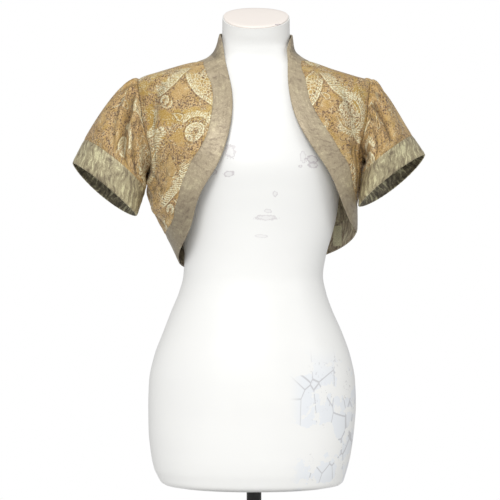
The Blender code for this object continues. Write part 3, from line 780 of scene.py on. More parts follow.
def along_path(table, count):
    """This many even steps along the path through (angle, height) rows."""
    table = np.asarray(table, float)
    flat = np.stack([np.radians(table[:, 0]) * FOLD_RADIUS, table[:, 1]], axis=1)
    gone = travelled(flat, 0)
    where = np.linspace(0, gone[-1], count + 1)
    return np.stack([smooth(where, gone, column) for column in table.T], axis=1)


def side_edge(side, back):
    """(angle, height) down the armhole and then the side seam, one row for each row of a panel."""
    armhole = [(row[2 if back else 1], row[0]) for row in ARMHOLES[side]]
    underarm = armhole[-1]
    bottom = (SIDE_SEAM, FRONT_BANDS[side][-1][1])
    seam = np.linspace(underarm, bottom, SIDE_ROWS + 1)
    return np.concatenate([along_path(armhole, ARMHOLE_ROWS), seam[1:]])


def front_edge(side):
    """(angle, height) of the band's seam and of its free edge, with the panel's rows, then the side."""
    rows = np.array(FRONT_BANDS[side], float)
    gone = travelled(rows[:, :2] * [np.radians(FOLD_RADIUS), 1], 0)
    beside = gone[-2] * BESIDE_ARMHOLE[side]
    upper = np.linspace(0, beside, ARMHOLE_ROWS + 1)
    lower = np.linspace(beside, gone[-2], SIDE_ROWS + 1)
    last = np.linspace(gone[-2], gone[-1], BAND_END_ROWS + 1)
    where = np.concatenate([upper, lower[1:], last[1:]])
    columns = [smooth(where, gone, column) for column in rows.T]
    return np.stack(columns[:2], axis=1), np.stack(columns[2:], axis=1)


def ruled(first, second, columns):
    """Rows of (angle, height) between two edges."""
    t = np.linspace(0, 1, columns + 1)[None, :, None]
    return first[:, None] * (1 - t) + second[:, None] * t


def front_panel(side):
    """The brocade from the band's seam to the armhole and the side seam."""
    seam, _ = front_edge(side)
    grid = ruled(seam[:-BAND_END_ROWS], side_edge(side, False), FRONT_COLUMNS)
    angle, height = grid[..., 0], grid[..., 1]
    return body_point(side, angle, height), body_place(side, angle, height)


def neck_edges():
    """(angle from the back, height) of the back neck seam and of the neck band's free edge."""
    angle = np.linspace(-90, 90, NECK_COLUMNS + 1)
    rise = 1 - (angle / 90) ** 2
    seam_ends = [FRONT_BANDS[side][0][1] for side in (LEFT, RIGHT)]
    edge_ends = [FRONT_BANDS[side][0][3] for side in (LEFT, RIGHT)]
    level_seam = np.interp(angle, (-90, 90), seam_ends)
    level_edge = np.interp(angle, (-90, 90), edge_ends)
    seam = level_seam + rise * (NECK_SEAM_BACK - np.mean(seam_ends))
    edge = level_edge + rise * (NECK_EDGE_BACK - np.mean(edge_ends))
    return np.stack([angle, seam], axis=1), np.stack([angle, edge], axis=1)


def hem_edges():
    """(angle from the back, height) of the hem band's seam and of its free edge."""
    angle, seam, edge = np.array(HEM_BAND, float).T
    where = np.linspace(angle[0], angle[-1], NECK_COLUMNS + 2 * SHOULDER_COLUMNS + 1)
    return [np.stack([where, smooth(where, angle, line)], axis=1) for line in (seam, edge)]


def back_panel():
    """A patch between the shoulders and back neck, the two sides and the hem band's seam."""
    neck, _ = neck_edges()
    shoulders = [
        np.linspace((90 * side, SHOULDER_POINT), neck[end], SHOULDER_COLUMNS + 1)[:-1]
        for side, end in ((LEFT, 0), (RIGHT, -1))
    ]
    top = np.concatenate([shoulders[0], neck, shoulders[1][::-1]])[None]
    bottom = hem_edges()[0][None]
    sides = []
    for side in (LEFT, RIGHT):
        edge = side_edge(side, True)
        sides.append(np.stack([side * (180 - edge[:, 0]), edge[:, 1]], axis=1)[:, None])
    v = np.linspace(0, 1, len(sides[0]))[:, None, None]
    u = np.linspace(0, 1, top.shape[1])[None, :, None]
    corners = (1 - v) * ((1 - u) * top[:, :1] + u * top[:, -1:])
    corners = corners + v * ((1 - u) * bottom[:, :1] + u * bottom[:, -1:])
    grid = (1 - v) * top + v * bottom + (1 - u) * sides[0] + u * sides[1] - corners
    angle, height = grid[..., 0], grid[..., 1]
    return back_point(angle, height), back_place(angle, height)


def strip_place(grid):
    """Where each point of a band lies along it and across it, laid flat."""
    middle = grid[:, grid.shape[1] // 2]
    along = travelled(middle[:, None], 0)[:, 0]
    across = travelled(grid, 1)
    return np.stack([along[:, None] + 0 * across, across], axis=-1)


def front_band(side):
    """The band, with its pressed free edge drawn out into one even curve."""
    seam, edge = front_edge(side)
    grid = ruled(seam, edge, BAND_COLUMNS)
    points = body_point(side, grid[..., 0], grid[..., 1])
    even = points[:, -1].copy()
    for _ in range(EDGE_PASSES):
        even[1:-1] = (even[:-2] + 2 * even[1:-1] + even[2:]) / 4
    share = np.linspace(0, 1, BAND_COLUMNS + 1)[None, :, None] ** 2
    points = points + (even - points[:, -1])[:, None] * share
    return points, strip_place(points)


def back_band(edges):
    """A band sewn to the back panel, from its seam to its free edge."""
    grid = ruled(*edges, BAND_COLUMNS)
    points = back_point(grid[..., 0], grid[..., 1])
    return points, strip_place(points)


def armhole_loop(side):
    """The armhole's points, from the shoulder down the front and up the back."""
    edges = [side_edge(side, back)[: ARMHOLE_ROWS + 1] for back in (False, True)]
    front, back = [body_point(side, edge[:, 0], edge[:, 1]) for edge in edges]
    return np.concatenate([front, back[-2:0:-1]])


def cuff_loop(side, edge, count):
    """The flattened loop of one of a cuff's edges, from its outer end round by the front."""
    sizes = SLEEVES[side][edge]
    outer, inner = (np.array(sizes[end]) * (side, 1, 1) for end in ("outer", "inner"))
    half = (outer - inner) / 2
    up = unit(np.array([-side * half[2], 0, side * half[0]]))
    turn = np.linspace(0, 2 * np.pi, count, endpoint=False)[:, None]
    bulge = np.sign(np.sin(turn)) * np.abs(np.sin(turn)) ** CUFF_PINCH
    raised = np.where(bulge > 0, sizes["lift"], sizes["drop"]) * bulge
    flat_loop = (outer + inner) / 2 + np.cos(turn) * half
    return flat_loop + raised * up - bulge * sizes["depth"] * Y_AXIS


def sleeve_fold(side, around, along):
    """How far the folds, creases, gathers and pleats move the sleeve's cloth out."""
    moved = np.zeros(np.broadcast(around, along).shape)
    for start, end, begin, stop, width, depth in SLEEVE_FOLDS[side] + SLEEVE_CREASES[side]:
        middle = start + (end - start) * along
        aside = (around - middle + 0.5) % 1.0 - 0.5
        rising = ease(along, begin, begin + SLEEVE_FOLD_RISE)
        dying = 1 - ease(along, stop - SLEEVE_FOLD_FALL, stop)
        moved = moved + depth * np.exp(-((aside / width) ** 2)) * rising * dying
    from_top = (around + 0.5) % 1.0 - 0.5
    head = 1 - ease(np.abs(from_top), GATHERS_THIN_OUT, GATHER_SPAN)
    along_head = ease(along, *GATHERS_RISE) * (1 - ease(along, *GATHERS_DIE))
    wave = np.cos(2 * np.pi * GATHERS * from_top / GATHER_SPAN)
    moved = moved + GATHER_DEPTH * head * along_head * wave
    pleats = ease(along, *HEAD_PLEATS_RISE) * (1 - ease(along, *HEAD_PLEATS_DIE))
    for place, width, depth in HEAD_PLEATS:
        moved = moved + depth * pleats * np.exp(-(((from_top - place) / width) ** 2))
    return moved


def sleeve_rings(side):
    """Rings from the armhole to the cuff's seam."""
    start = armhole_loop(side)
    end = cuff_loop(side, "seam", len(start))
    chord = np.linalg.norm(end - start, axis=1, keepdims=True)
    outward = unit(np.array(SLEEVE_OUTWARD) * (side, 1, 1))
    from_middle = start - start.mean(axis=0)
    radial = unit(from_middle - (from_middle @ outward)[:, None] * outward)
    start = start + ARMHOLE_GAP * (outward - radial)
    leaving = unit(outward + SLEEVE_SPREAD * radial) * chord * SLEEVES[side]["start"]
    arriving = unit(cuff_loop(side, "rim", len(start)) - end) * chord * SLEEVES[side]["end"]
    t = np.linspace(0, 1, SLEEVE_ROWS + 1)[:, None, None]
    rings = (1 + 2 * t) * (1 - t) ** 2 * start + t * (1 - t) ** 2 * leaving
    rings = rings + t * t * (3 - 2 * t) * end - t * t * (1 - t) * arriving
    middle = rings.mean(axis=1, keepdims=True)
    around = np.linspace(0, 1, len(start), endpoint=False)[None, :]
    moved = sleeve_fold(side, around, t[..., 0])
    return rings + unit(rings - middle) * moved[..., None]


def from_underarm(rings):
    """The rings turned so that they start and end at the underarm."""
    return np.roll(rings, -(rings.shape[1] // 2), axis=1)


def tube_place(rings):
    """Where each point of a tube lies on the cloth, across from the shoulder's line and down."""
    joined = np.concatenate([rings, rings[:, :1]], axis=1)
    around = travelled(joined, 1)
    across = around - around[:, -1:] / 2
    return np.stack([across, -travelled(joined, 0)], axis=-1)


def sleeve(side):
    """The sleeve's cloth, and where it lies laid flat."""
    rings = from_underarm(sleeve_rings(side))
    return rings, tube_place(rings)


def cuff(side):
    """The cuff, from the sleeve's end to its rim."""
    start = from_underarm(sleeve_rings(side))[-1]
    end = from_underarm(cuff_loop(side, "rim", len(start))[None])[0]
    t = np.linspace(0, 1, CUFF_ROWS + 1)[:, None, None]
    rings = start * (1 - t) + end * t
    return rings, tube_place(rings)


def normals(grid, closed):
    """The direction square to the cloth at each point."""
    if closed:
        across = np.roll(grid, -1, axis=1) - np.roll(grid, 1, axis=1)
    else:
        across = np.gradient(grid, axis=1)
    return unit(np.cross(across, np.gradient(grid, axis=0)))


def from_border(grid, closed):
    """How far each point is from the nearest border of its piece, along the cloth."""
    down = travelled(grid, 0)
    near = np.minimum(down, down[-1:] - down)
    if closed:
        return near
    across = travelled(grid, 1)
    return np.minimum(near, np.minimum(across, across[:, -1:] - across))


def puckers(place, distance):
    """Small ripples that a seam draws into the cloth beside it, uneven in size and spacing."""
    along = place[..., 0] + place[..., 1]
    wave = np.sin(2 * np.pi * along / PUCKER_SPACING + 2.1 * np.sin(along * 97))
    uneven = 0.55 + 0.45 * np.sin(along * 41 + 1.3) * np.sin(along * 173)
    fade = np.exp(-((distance / PUCKER_REACH) ** 2)) * (1 - np.exp(-distance / PUCKER_START))
    return PUCKER_DEPTH * wave * uneven * fade


def crush(place, depth):
    """The fine creases across a band of crushed taffeta."""
    u, v = place[..., 0], place[..., 1]
    slanted = u + 0.12 * v + 0.0016 * np.sin(v * 170 + 6 * np.sin(u * 31))
    broad = np.sin(slanted * 610 + 2.6 * np.sin(slanted * 143 + v * 55))
    narrow = np.sin(slanted * 1130 + 3.1 * np.sin(slanted * 217 - v * 80) + v * 90)
    patchy = 0.6 + 0.4 * np.sin(u * 83 + 1.7 * np.sin(v * 120 + u * 37))
    return depth * patchy * (0.62 * broad + 0.38 * narrow)


def creased(grid, facing, closed):
    """From 0 on level cloth to 1 at the bottom of a crease, which sets its painted shade."""
    found = np.zeros(grid.shape[:2])
    for step in CREASE_STEPS:
        padded = np.pad(grid, ((step, step), (0, 0), (0, 0)), mode="edge")
        ends = "wrap" if closed else "edge"
        padded = np.pad(padded, ((0, 0), (step, step), (0, 0)), mode=ends)
        rows = padded[2 * step :, step:-step] + padded[: -2 * step, step:-step]
        columns = padded[step:-step, 2 * step :] + padded[step:-step, : -2 * step]
        below = ((rows + columns) / 4 - grid) * facing
        found = np.maximum(found, below.sum(axis=-1) / CREASE_BOTTOM)
    for line in (found,) if closed else (found, found.T):
        line[:CREASE_BORDER] = 0.0
        line[-CREASE_BORDER:] = 0.0
    return np.clip(found, 0.0, 1.0)


def outwards(grid, closed):
    """The way out of the piece at its border, and nothing within it."""
    away = np.zeros_like(grid)
    pairs = ((grid, away),) if closed else ((grid, away), (grid.swapaxes(0, 1), away.swapaxes(0, 1)))
    for rows, found in pairs:
        found[0] += unit(rows[0] - rows[1])
        found[-1] += unit(rows[-1] - rows[-2])
    return away


def shell_mesh(name, grid, place, thickness, looks, closed, flip):
    """A closed skin of cloth on a grid of points, with a rounded edge all round."""
    rows, columns = grid.shape[:2]
    facing = normals(grid, closed) * (-1 if flip else 1)
    inner = grid - facing * thickness
    if closed:
        loops = [[(0, c) for c in range(columns + 1)]]
        loops.append([(rows - 1, c) for c in range(columns, -1, -1)])
    else:
        loop = [(0, c) for c in range(columns)]
        loop += [(r, columns - 1) for r in range(1, rows)]
        loop += [(rows - 1, c) for c in range(columns - 2, -1, -1)]
        loops = [loop + [(r, 0) for r in range(rows - 2, -1, -1)]]
    away = outwards(grid, closed)
    points = [grid.reshape(-1, 3), inner.reshape(-1, 3)]
    number = np.arange(rows * columns).reshape(rows, columns)
    r, c = np.meshgrid(np.arange(rows - 1), np.arange(columns - (not closed)), indexing="ij")
    r, c = r.ravel(), c.ravel()
    beside = (c + 1) % columns
    outside = np.stack([number[r, c], number[r, beside], number[r + 1, beside], number[r + 1, c]], 1)
    flat = np.stack([place[r, c], place[r, c + 1], place[r + 1, c + 1], place[r + 1, c]], 1)
    faces = [outside, outside[:, ::-1] + rows * columns]
    flats = [flat, flat[:, ::-1]]
    kinds = [0 * r, 0 * r + 1]
    start = 2 * rows * columns
    for loop in loops:
        at = np.array(loop)
        spots = (at[:, 0], at[:, 1] % columns)
        edge = number[spots]
        middle = (grid[spots] + inner[spots]) / 2
        middle = middle + unit(away[spots]) * thickness * EDGE_ROUNDING
        points.append(middle[:-1])
        turned = start + np.arange(len(loop)) % (len(loop) - 1)
        start += len(loop) - 1
        laid = place[at[:, 0], at[:, 1]]
        for top, bottom in ((edge, turned), (turned, edge + rows * columns)):
            faces.append(np.stack([top[1:], top[:-1], bottom[:-1], bottom[1:]], 1))
            flats.append(np.stack([laid[1:], laid[:-1], laid[:-1], laid[1:]], 1))
            kinds.append(np.zeros(len(loop) - 1, int))
    points, faces = np.concatenate(points), np.concatenate(faces)
    flats, kinds = np.concatenate(flats), np.concatenate(kinds)
    if flip:
        faces, flats = faces[:, ::-1], flats[:, ::-1]
    mesh = bpy.data.meshes.new(name)
    mesh.from_pydata(points.tolist(), [], faces.tolist())
    laid_flat = mesh.uv_layers.new(name="Cloth laid flat")
    laid_flat.data.foreach_set("uv", np.ascontiguousarray(flats, np.float32).ravel())
    depth = np.zeros(len(points))
    # The outside's points carry how deep each lies in a crease, for the painted crease shade.
    depth[: rows * columns] = creased(grid, facing, closed).ravel()
    crease_painted_shade = mesh.attributes.new("Painted crease shade", "FLOAT", "POINT")
    crease_painted_shade.data.foreach_set("value", depth.astype(np.float32))
    mesh.polygons.foreach_set("material_index", kinds.astype(np.int32))
    for look in looks:
        mesh.materials.append(look)
    mesh.shade_smooth()
    mesh.validate()
    return mesh


def add_piece(name, mesh, slot, *nodes):
    """Puts a piece in the scene in place of the CAD nodes that it stands for."""
    piece = bpy.data.objects.new(name, mesh)
    bpy.context.scene.collection.objects.link(piece)
    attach(piece, "root")
    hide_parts(*nodes)
    return piece


def draw_in(grid, closed):
    """The border moved in by the seam's inset."""
    grid = grid.copy()
    for rows in (grid,) if closed else (grid, grid.swapaxes(0, 1)):
        for end, inner in ((0, 1), (-1, -2)):
            rows[end] += unit(rows[inner] - rows[end]) * SEAM_INSET
    return grid


def sew(name, node, made, looks, closed=False, flip=False):
    """One cut piece of the jacket. Made is its grid of points and where they lie on the cloth."""
    grid, place = made
    banded = looks[0].name.startswith("olive")
    on_cloth = place[:, :-1] if closed else place
    distance = from_border(grid, closed)
    loft = BAND_LOFT if banded else CLOTH_LOFT
    raised = loft * (1 - np.exp(-((distance / SEAM_SOFTNESS) ** 2)))
    raised = raised + puckers(on_cloth, distance)
    if banded:
        crushed = crush(on_cloth, CUFF_CRUSH if closed else BAND_CRUSH)
        raised = raised + crushed * (1 - np.exp(-distance / CRUSH_START))
    facing = normals(grid, closed) * (-1 if flip else 1)
    grid = draw_in(grid + facing * raised[..., None], closed)
    laid = place + LAID_AT.get(node.replace("_panel", ""), (0.0, 0.0))
    mesh = shell_mesh(name, grid, laid, BAND_CLOTH if banded else CLOTH, looks, closed, flip)
    return add_piece(name, mesh, "olive_taffeta" if banded else "gold_brocade", node)


class Sum:
    """A socket of a shader tree that can be used in sums written as plain Python."""

    def __init__(self, tree, socket):
        self.tree = tree
        self.socket = socket

    def worked(self, operation, *others, first=None):
        node = self.tree.nodes.new("ShaderNodeMath")
        node.operation = operation
        values = (self, *others) if first is None else (first, self)
        for place, value in zip(node.inputs, values):
            plug(place, value)
        return Sum(self.tree, node.outputs[0])

    def __add__(self, other):
        return self.worked("ADD", other)

    def __radd__(self, other):
        return self.worked("ADD", other)

    def __sub__(self, other):
        return self.worked("SUBTRACT", other)

    def __rsub__(self, other):
        return self.worked("SUBTRACT", first=other)

    def __mul__(self, other):
        return self.worked("MULTIPLY", other)

    def __rmul__(self, other):
        return self.worked("MULTIPLY", other)

    def __truediv__(self, other):
        return self.worked("DIVIDE", other)

    def __pow__(self, other):
        return self.worked("POWER", other)

    def __abs__(self):
        return self.worked("ABSOLUTE")

    def __neg__(self):
        return self.worked("MULTIPLY", -1.0)

    def part(self):
        return self.worked("FRACT")

    def whole(self):
        return self.worked("FLOOR")

    def sine(self):
        return self.worked("SINE")

    def root(self):
        return self.worked("SQRT")

    def least(self, other):
        return self.worked("MINIMUM", other)

    def most(self, other):
        return self.worked("MAXIMUM", other)

    def above(self, other):
        return self.worked("GREATER_THAN", other)

    def between(self, low, high):
        """0 up to low and 1 from high, smooth between. Low may be the greater of the two."""
        node = self.tree.nodes.new("ShaderNodeMapRange")
        node.interpolation_type = "SMOOTHSTEP"
        plug(node.inputs["Value"], self)
        plug(node.inputs["From Min"], low)
        plug(node.inputs["From Max"], high)
        return Sum(self.tree, node.outputs["Result"])

    def line(self, at, width):
        """1 on a thin line where the value is at, falling to 0 half a width to each side."""
        return abs(self - at).between(width / 2, width / 5)


def plug(socket, value):
    """Links a sum to a socket, or sets a plain value on it."""
    if isinstance(value, Sum):
        value.tree.links.new(value.socket, socket)
    else:
        socket.default_value = value


def choose(test, yes, no):
    """Yes where the test is 1 and no where it is 0."""
    return test * yes + (1.0 - test) * no


def turn_of(up, across):
    """The angle of the direction (across, up)."""
    node = up.tree.nodes.new("ShaderNodeMath")
    node.operation = "ARCTAN2"
    plug(node.inputs[0], up)
    plug(node.inputs[1], across)
    return Sum(up.tree, node.outputs[0])


def split(vector):
    """A vector's three numbers."""
    node = vector.tree.nodes.new("ShaderNodeSeparateXYZ")
    plug(node.inputs[0], vector)
    return [Sum(vector.tree, node.outputs[k]) for k in range(3)]


def join(x, y, z=0.0):
    """A vector from its numbers."""
    tree = next(value.tree for value in (x, y, z) if isinstance(value, Sum))
    node = tree.nodes.new("ShaderNodeCombineXYZ")
    for place, value in zip(node.inputs, (x, y, z)):
        plug(place, value)
    return Sum(tree, node.outputs[0])


def noise(vector, scale, detail=2.0, rough=0.5, flat=True):
    """Soft uneven patches, this many to the metre."""
    node = vector.tree.nodes.new("ShaderNodeTexNoise")
    node.noise_dimensions = "2D" if flat else "3D"
    plug(node.inputs["Vector"], vector)
    node.inputs["Scale"].default_value = scale
    node.inputs["Detail"].default_value = detail
    node.inputs["Roughness"].default_value = rough
    return Sum(vector.tree, node.outputs["Fac"])


def cells(vector, scale, feature="F1", flat=True, jitter=1.0):
    """How far a place is from the middle or the edge of its cell, this many to the metre."""
    node = vector.tree.nodes.new("ShaderNodeTexVoronoi")
    node.voronoi_dimensions = "2D" if flat else "3D"
    node.feature = feature
    plug(node.inputs["Vector"], vector)
    node.inputs["Scale"].default_value = scale
    node.inputs["Randomness"].default_value = jitter
    return Sum(vector.tree, node.outputs["Distance"])


def mixed(share, first, second):
    """One colour laid over another by this share."""
    tree = share.tree
    node = tree.nodes.new("ShaderNodeMix")
    node.data_type = "RGBA"
    plug(node.inputs["Factor"], share)
    for name, value in (("A", first), ("B", second)):
        place = next(s for s in node.inputs if s.name == name and s.type == "RGBA")
        plug(place, value if isinstance(value, Sum) else (*value, 1.0))
    found = next(s for s in node.outputs if s.type == "RGBA")
    return Sum(tree, found)


def toned(colour, brightness):
    """The colour made lighter or darker by a share."""
    node = colour.tree.nodes.new("ShaderNodeVectorMath")
    node.operation = "SCALE"
    plug(node.inputs[0], colour)
    plug(node.inputs["Scale"], brightness)
    return Sum(colour.tree, node.outputs[0])


def new_group(name, given, found):
    """An empty shader node group with these named inputs and outputs, and its inputs as sums."""
    group = bpy.data.node_groups.new(name, "ShaderNodeTree")
    for title, kind, value in given:
        socket = group.interface.new_socket(title, in_out="INPUT", socket_type=kind)
        if value is not None:
            socket.default_value = value
    for title, kind in found:
        group.interface.new_socket(title, in_out="OUTPUT", socket_type=kind)
    start = group.nodes.new("NodeGroupInput")
    end = group.nodes.new("NodeGroupOutput")
    return group, {s.name: Sum(group, s) for s in start.outputs if s.name}, end


def use(group, tree, **given):
    """Places a node group in a tree and gives back its outputs by name."""
    node = tree.nodes.new("ShaderNodeGroup")
    node.node_tree = group
    for title, value in given.items():
        plug(node.inputs[title.replace("_", " ")], value)
    return {s.name: Sum(tree, s) for s in node.outputs}


def paisley_group():
    """Rows of bent drops, each with its tip up, turned the other way in every second column."""
    group, given, end = new_group(
        "paisley drops",
        (
            ("Place", VECTOR, None),
            ("Column width", NUMBER, 0.1),
            ("Repeat", NUMBER, 0.15),
            ("Shift", NUMBER, 0.0),
            ("Drop radius", NUMBER, 0.025),
            ("Lean", NUMBER, 0.4),
        ),
        (("Depth", NUMBER), ("Along", NUMBER), ("From middle", NUMBER), ("Turn", NUMBER)),
    )
    x, y, _ = split(given["Place"])
    width, repeat, radius = given["Column width"], given["Repeat"], given["Drop radius"]
    column = x / width
    odd = (column.whole() * 0.5).part() * 2.0
    way = 1.0 - odd * 2.0
    aside = (column.part() - 0.5) * width * way
    row = (y + given["Shift"] + odd * repeat * 0.5) / repeat
    up = (row.part() - 0.5) * repeat
    lean = given["Lean"]
    cosine, sine = lean.worked("COSINE"), lean.sine()
    across = (aside * cosine - up * sine) / radius
    rise = (aside * sine + up * cosine) / radius + DROP_MIDDLE
    t = (rise / DROP_LENGTH).most(0.0).least(1.0)
    half = (1.0 - t * t) ** TAIL_FINENESS
    bent = across - t * t * TAIL_BEND
    beyond = (rise - DROP_LENGTH).most(0.0)
    tail_depth = (half - abs(bent) - beyond) * TAIL_SLOPE
    from_middle = (across * across + rise * rise).root()
    upper = rise.above(0.0)
    depth = choose(upper, tail_depth, 1.0 - from_middle)
    below = turn_of(-rise, abs(across))
    along = choose(upper, rise, -below)
    plug(end.inputs["Depth"], depth * radius)
    plug(end.inputs["Along"], along * radius)
    plug(end.inputs["From middle"], from_middle * radius)
    plug(end.inputs["Turn"], turn_of(rise, across))
    return group


def weave_group():
    """Crossing threads: how far each stands up, for a fine bump and a little shade."""
    group, given, end = new_group(
        "woven threads",
        (("Place", VECTOR, None), ("Thread", NUMBER, 0.0006), ("Slub", NUMBER, 0.3)),
        (("Height", NUMBER), ("Shade", NUMBER)),
    )
    x, y, _ = split(given["Place"])
    thread = given["Thread"]
    twill = ((x + y) / thread * FULL_TURN).sine() * 0.5 + 0.5
    weft = (y / thread * FULL_TURN).sine() * 0.5 + 0.5
    uneven = noise(join(x * 60.0, y * 900.0), 1.0, 2.0)
    height = twill * 0.6 + weft * 0.4
    plug(end.inputs["Height"], height)
    slub = (uneven - 0.5) * given["Slub"]
    plug(end.inputs["Shade"], 0.94 + height * 0.08 + slub)
    return group


def brocade_group(paisley):
    """The figuring of the brocade: where its cream, brown and copper threads come to the face."""
    group, given, end = new_group(
        "brocade figuring",
        (("Place", VECTOR, None),),
        (("Cream", NUMBER), ("Brown", NUMBER), ("Copper", NUMBER), ("Raised", NUMBER)),
    )
    start = given["Place"]
    x, y, _ = split(start)
    sway = noise(start, 15.0, 1.0) - 0.5
    lift = noise(join(y + 3.1, x - 1.7), 13.0, 1.0) - 0.5
    px, py = x + sway * SWAY, y + lift * SWAY
    place = join(px, py)
    wide = noise(join(x + 1.3, y - 0.7), 10.0, 2.0)
    patches = noise(join(x + 0.9, y + 0.4), 21.0, 3.0)
    clusters = noise(join(x - 0.6, y + 0.2), 34.0, 3.0, 0.6).between(0.44, 0.52)
    ragged = noise(join(px + 2.0, py), 300.0, 2.0, 0.6)
    broken = ragged.between(0.40, 0.54)
    specks = noise(join(px, py + 1.0), 300.0, 2.0, 0.6).between(0.42, 0.54)
    lattice = cells(place, MESH_CELLS, "DISTANCE_TO_EDGE", jitter=0.8)
    mesh_lines = lattice.between(0.20, 0.08) * 0.75

    def strokes(along, depth, spacing):
        """Short uneven strokes that lean across a line."""
        where = (along + depth * STROKE_LEAN + (ragged - 0.5) * STROKE_UNEVEN) / spacing
        return abs(where.part() - 0.5).between(0.40, 0.22)

    def band(depth, low, high):
        """1 where the depth lies between low and high."""
        inside = depth.between(low - 0.0005, low + 0.0005)
        return inside * (1.0 - depth.between(high - 0.0005, high + 0.0005))

    width, height = FEATHER_REPEAT
    from_x, from_y = FEATHERS_FROM
    column = (px - from_x) / width + 0.5
    turned = 1.0 - (column.whole() * 0.5).part() * 4.0
    local_x = (column.part() - 0.5) * width * turned
    local_y = (((py - from_y) / height + 0.5).part() - 0.5) * height
    cream, outline, filled = None, None, None
    for at_x, at_y, radius, middle, half_sweep, reach, mesh_reach in FEATHERS:
        aside, above = local_x - at_x, local_y - at_y
        away = (aside * aside + above * above).root()
        across, up = math.cos(math.radians(middle)), math.sin(math.radians(middle))
        facing = (aside * across + above * up) / away
        limit = math.cos(math.radians(half_sweep))
        swept = facing.between(limit - 0.03, limit + 0.03)
        inwards = (radius - away) * (1.0 if reach > 0 else -1.0)
        along = turn_of(above, aside) * radius
        length = (ragged * 1.1 + 0.45) * abs(reach)
        hatched = band(inwards, 0.0, length) * strokes(along, inwards, STROKE_SPACING)
        drawn = hatched.most(inwards.line(0.0, 0.0030)) * swept
        cream = drawn if cream is None else cream.most(drawn)
        edge = inwards.line(-0.0032, 0.0028) * swept
        outline = edge if outline is None else outline.most(edge)
        if mesh_reach:
            meshed = band(inwards, 0.0075, mesh_reach) * swept
            second = inwards.line(0.0060, 0.0024) * swept
            cream = cream.most(meshed * mesh_lines).most(second)
            filled = meshed if filled is None else filled.most(meshed)

    elsewhere = local_x.between(-0.012, -0.024)
    big = use(paisley, group, Place=place, **BIG_DROPS)
    small = use(paisley, group, Place=place, **SMALL_DROPS)
    tiny = use(paisley, group, Place=place, **TINY_DROPS)
    depth = big["Depth"]
    halo = band(depth, -0.0100, 0.0) * elsewhere
    within = band(depth, 0.0080, 1.0) * elsewhere
    grown = ((ragged - 0.5) * 0.010) + depth
    figures = band(grown, -0.0075, 0.0) * strokes(big["Along"], depth, STROKE_SPACING)
    figures = figures.most(depth.line(0.0010, 0.0028)).most(depth.line(0.0062, 0.0022) * broken)
    figures = figures.most(within * mesh_lines * 0.85) * elsewhere
    petals = (big["Turn"] * 6.0).sine() * 0.0020
    figures = figures.most((big["From middle"] + petals).line(0.0092, 0.0028) * elsewhere)
    cream = cream.most(figures)
    kept = patches.between(0.42, 0.50)
    hatched = strokes(small["Along"], small["Depth"], SMALL_STROKE_SPACING)
    cream = cream.most(band(small["Depth"], 0.0, 0.0030) * hatched * kept)
    cream = cream.most(band(small["Depth"], 0.0050, 1.0) * mesh_lines * 0.8 * kept)
    cream = cream.most(tiny["Depth"].line(0.0012, 0.0026) * patches.between(0.52, 0.60) * 0.7)
    flecks = cells(join(px + 4.0, py), FLECK_CELLS).between(0.30, 0.16)
    cream = cream.most(flecks * wide.between(0.50, 0.62) * patches.between(0.40, 0.50) * 0.75)
    cream = cream * broken.most(0.32)

    outline = outline.most(depth.line(-0.0024, 0.0026) * elsewhere)
    outline = outline.most(depth.line(0.0108, 0.0018) * elsewhere)
    outline = outline.most(small["Depth"].line(-0.0014, 0.0018))
    outline = outline.most(tiny["Depth"].line(0.0, 0.0022) * patches.between(0.40, 0.50))

    scrolls = noise(place, 60.0, 1.0, 0.5)
    curls = abs((scrolls * 5.0).part() - 0.5).between(0.22, 0.08)
    low = y.between(0.30, 0.20)
    crowded = clusters.most(low * patches.between(0.40, 0.54) * 0.8)
    speckle = curls * specks * crowded
    dots = cells(join(px, py + 6.0), DOT_CELLS).between(0.42, 0.24)
    brown = (outline * specks.most(0.35) * 0.85).most(speckle)
    brown = brown.most(dots * crowded * specks.most(0.25))
    brown = brown.most(within * dots * 0.7)

    copper = within.most(clusters * 0.8).most(wide.between(0.50, 0.42) * 0.6)
    copper = copper.most(halo * 0.5).most(low * 0.6).most(filled * 0.4)
    plug(end.inputs["Cream"], cream)
    plug(end.inputs["Brown"], brown * (1.0 - cream))
    plug(end.inputs["Copper"], copper)
    plug(end.inputs["Raised"], cream * 0.8 + brown * 0.35)
    return group


def crush_group():
    """Crushed taffeta: crumples all over, streaks across a band, and the slubs along it. Its shade is
    painted shade and highlight on the crumples and streaks, with the slubs' and grain's own tone.
    """
    group, given, end = new_group(
        "crushed taffeta",
        (("Place", VECTOR, None), ("Crush", NUMBER, 1.0)),
        (("Shade", NUMBER), ("Height", NUMBER)),
    )
    u, v, _ = split(given["Place"])
    crush = given["Crush"]
    drift = noise(join(u * 26.0, v * 60.0), 1.0, 1.0) - 0.5
    slanted = u + v * 0.25 + drift * 0.014
    streaks = noise(join(slanted * 200.0, v * 52.0), 1.0, 2.0, 0.6)
    crumples = noise(join(u * 140.0 + drift * 4.0, v * 180.0), 1.0, 3.0, 0.65)
    broad = noise(join(u * 17.0, v * 26.0), 1.0, 2.0)
    slubs = noise(join(u * 30.0, v * 900.0), 1.0, 2.0, 0.6)
    grain = noise(join(u * 600.0, v * 600.0), 1.0, 1.0)
    ridge = 1.0 - abs(streaks * 2.0 - 1.0) * 2.2
    folded = 1.0 - abs(crumples * 2.0 - 1.0) * 2.4
    shade = (streaks - 0.5) * crush * 1.4 + (crumples - 0.5) * (1.1 - crush * 0.6)
    shade = shade + (broad - 0.5) * (crush * 0.5 + 0.35)
    shade = shade + (slubs - 0.5) * 0.22 + (grain - 0.5) * 0.35 + 0.5
    height = ridge * crush * 0.32 + folded * (0.75 - crush * 0.35) + slubs * 0.08 + grain * 0.08
    plug(end.inputs["Shade"], shade.most(0.0).least(1.0))
    plug(end.inputs["Height"], height)
    return group


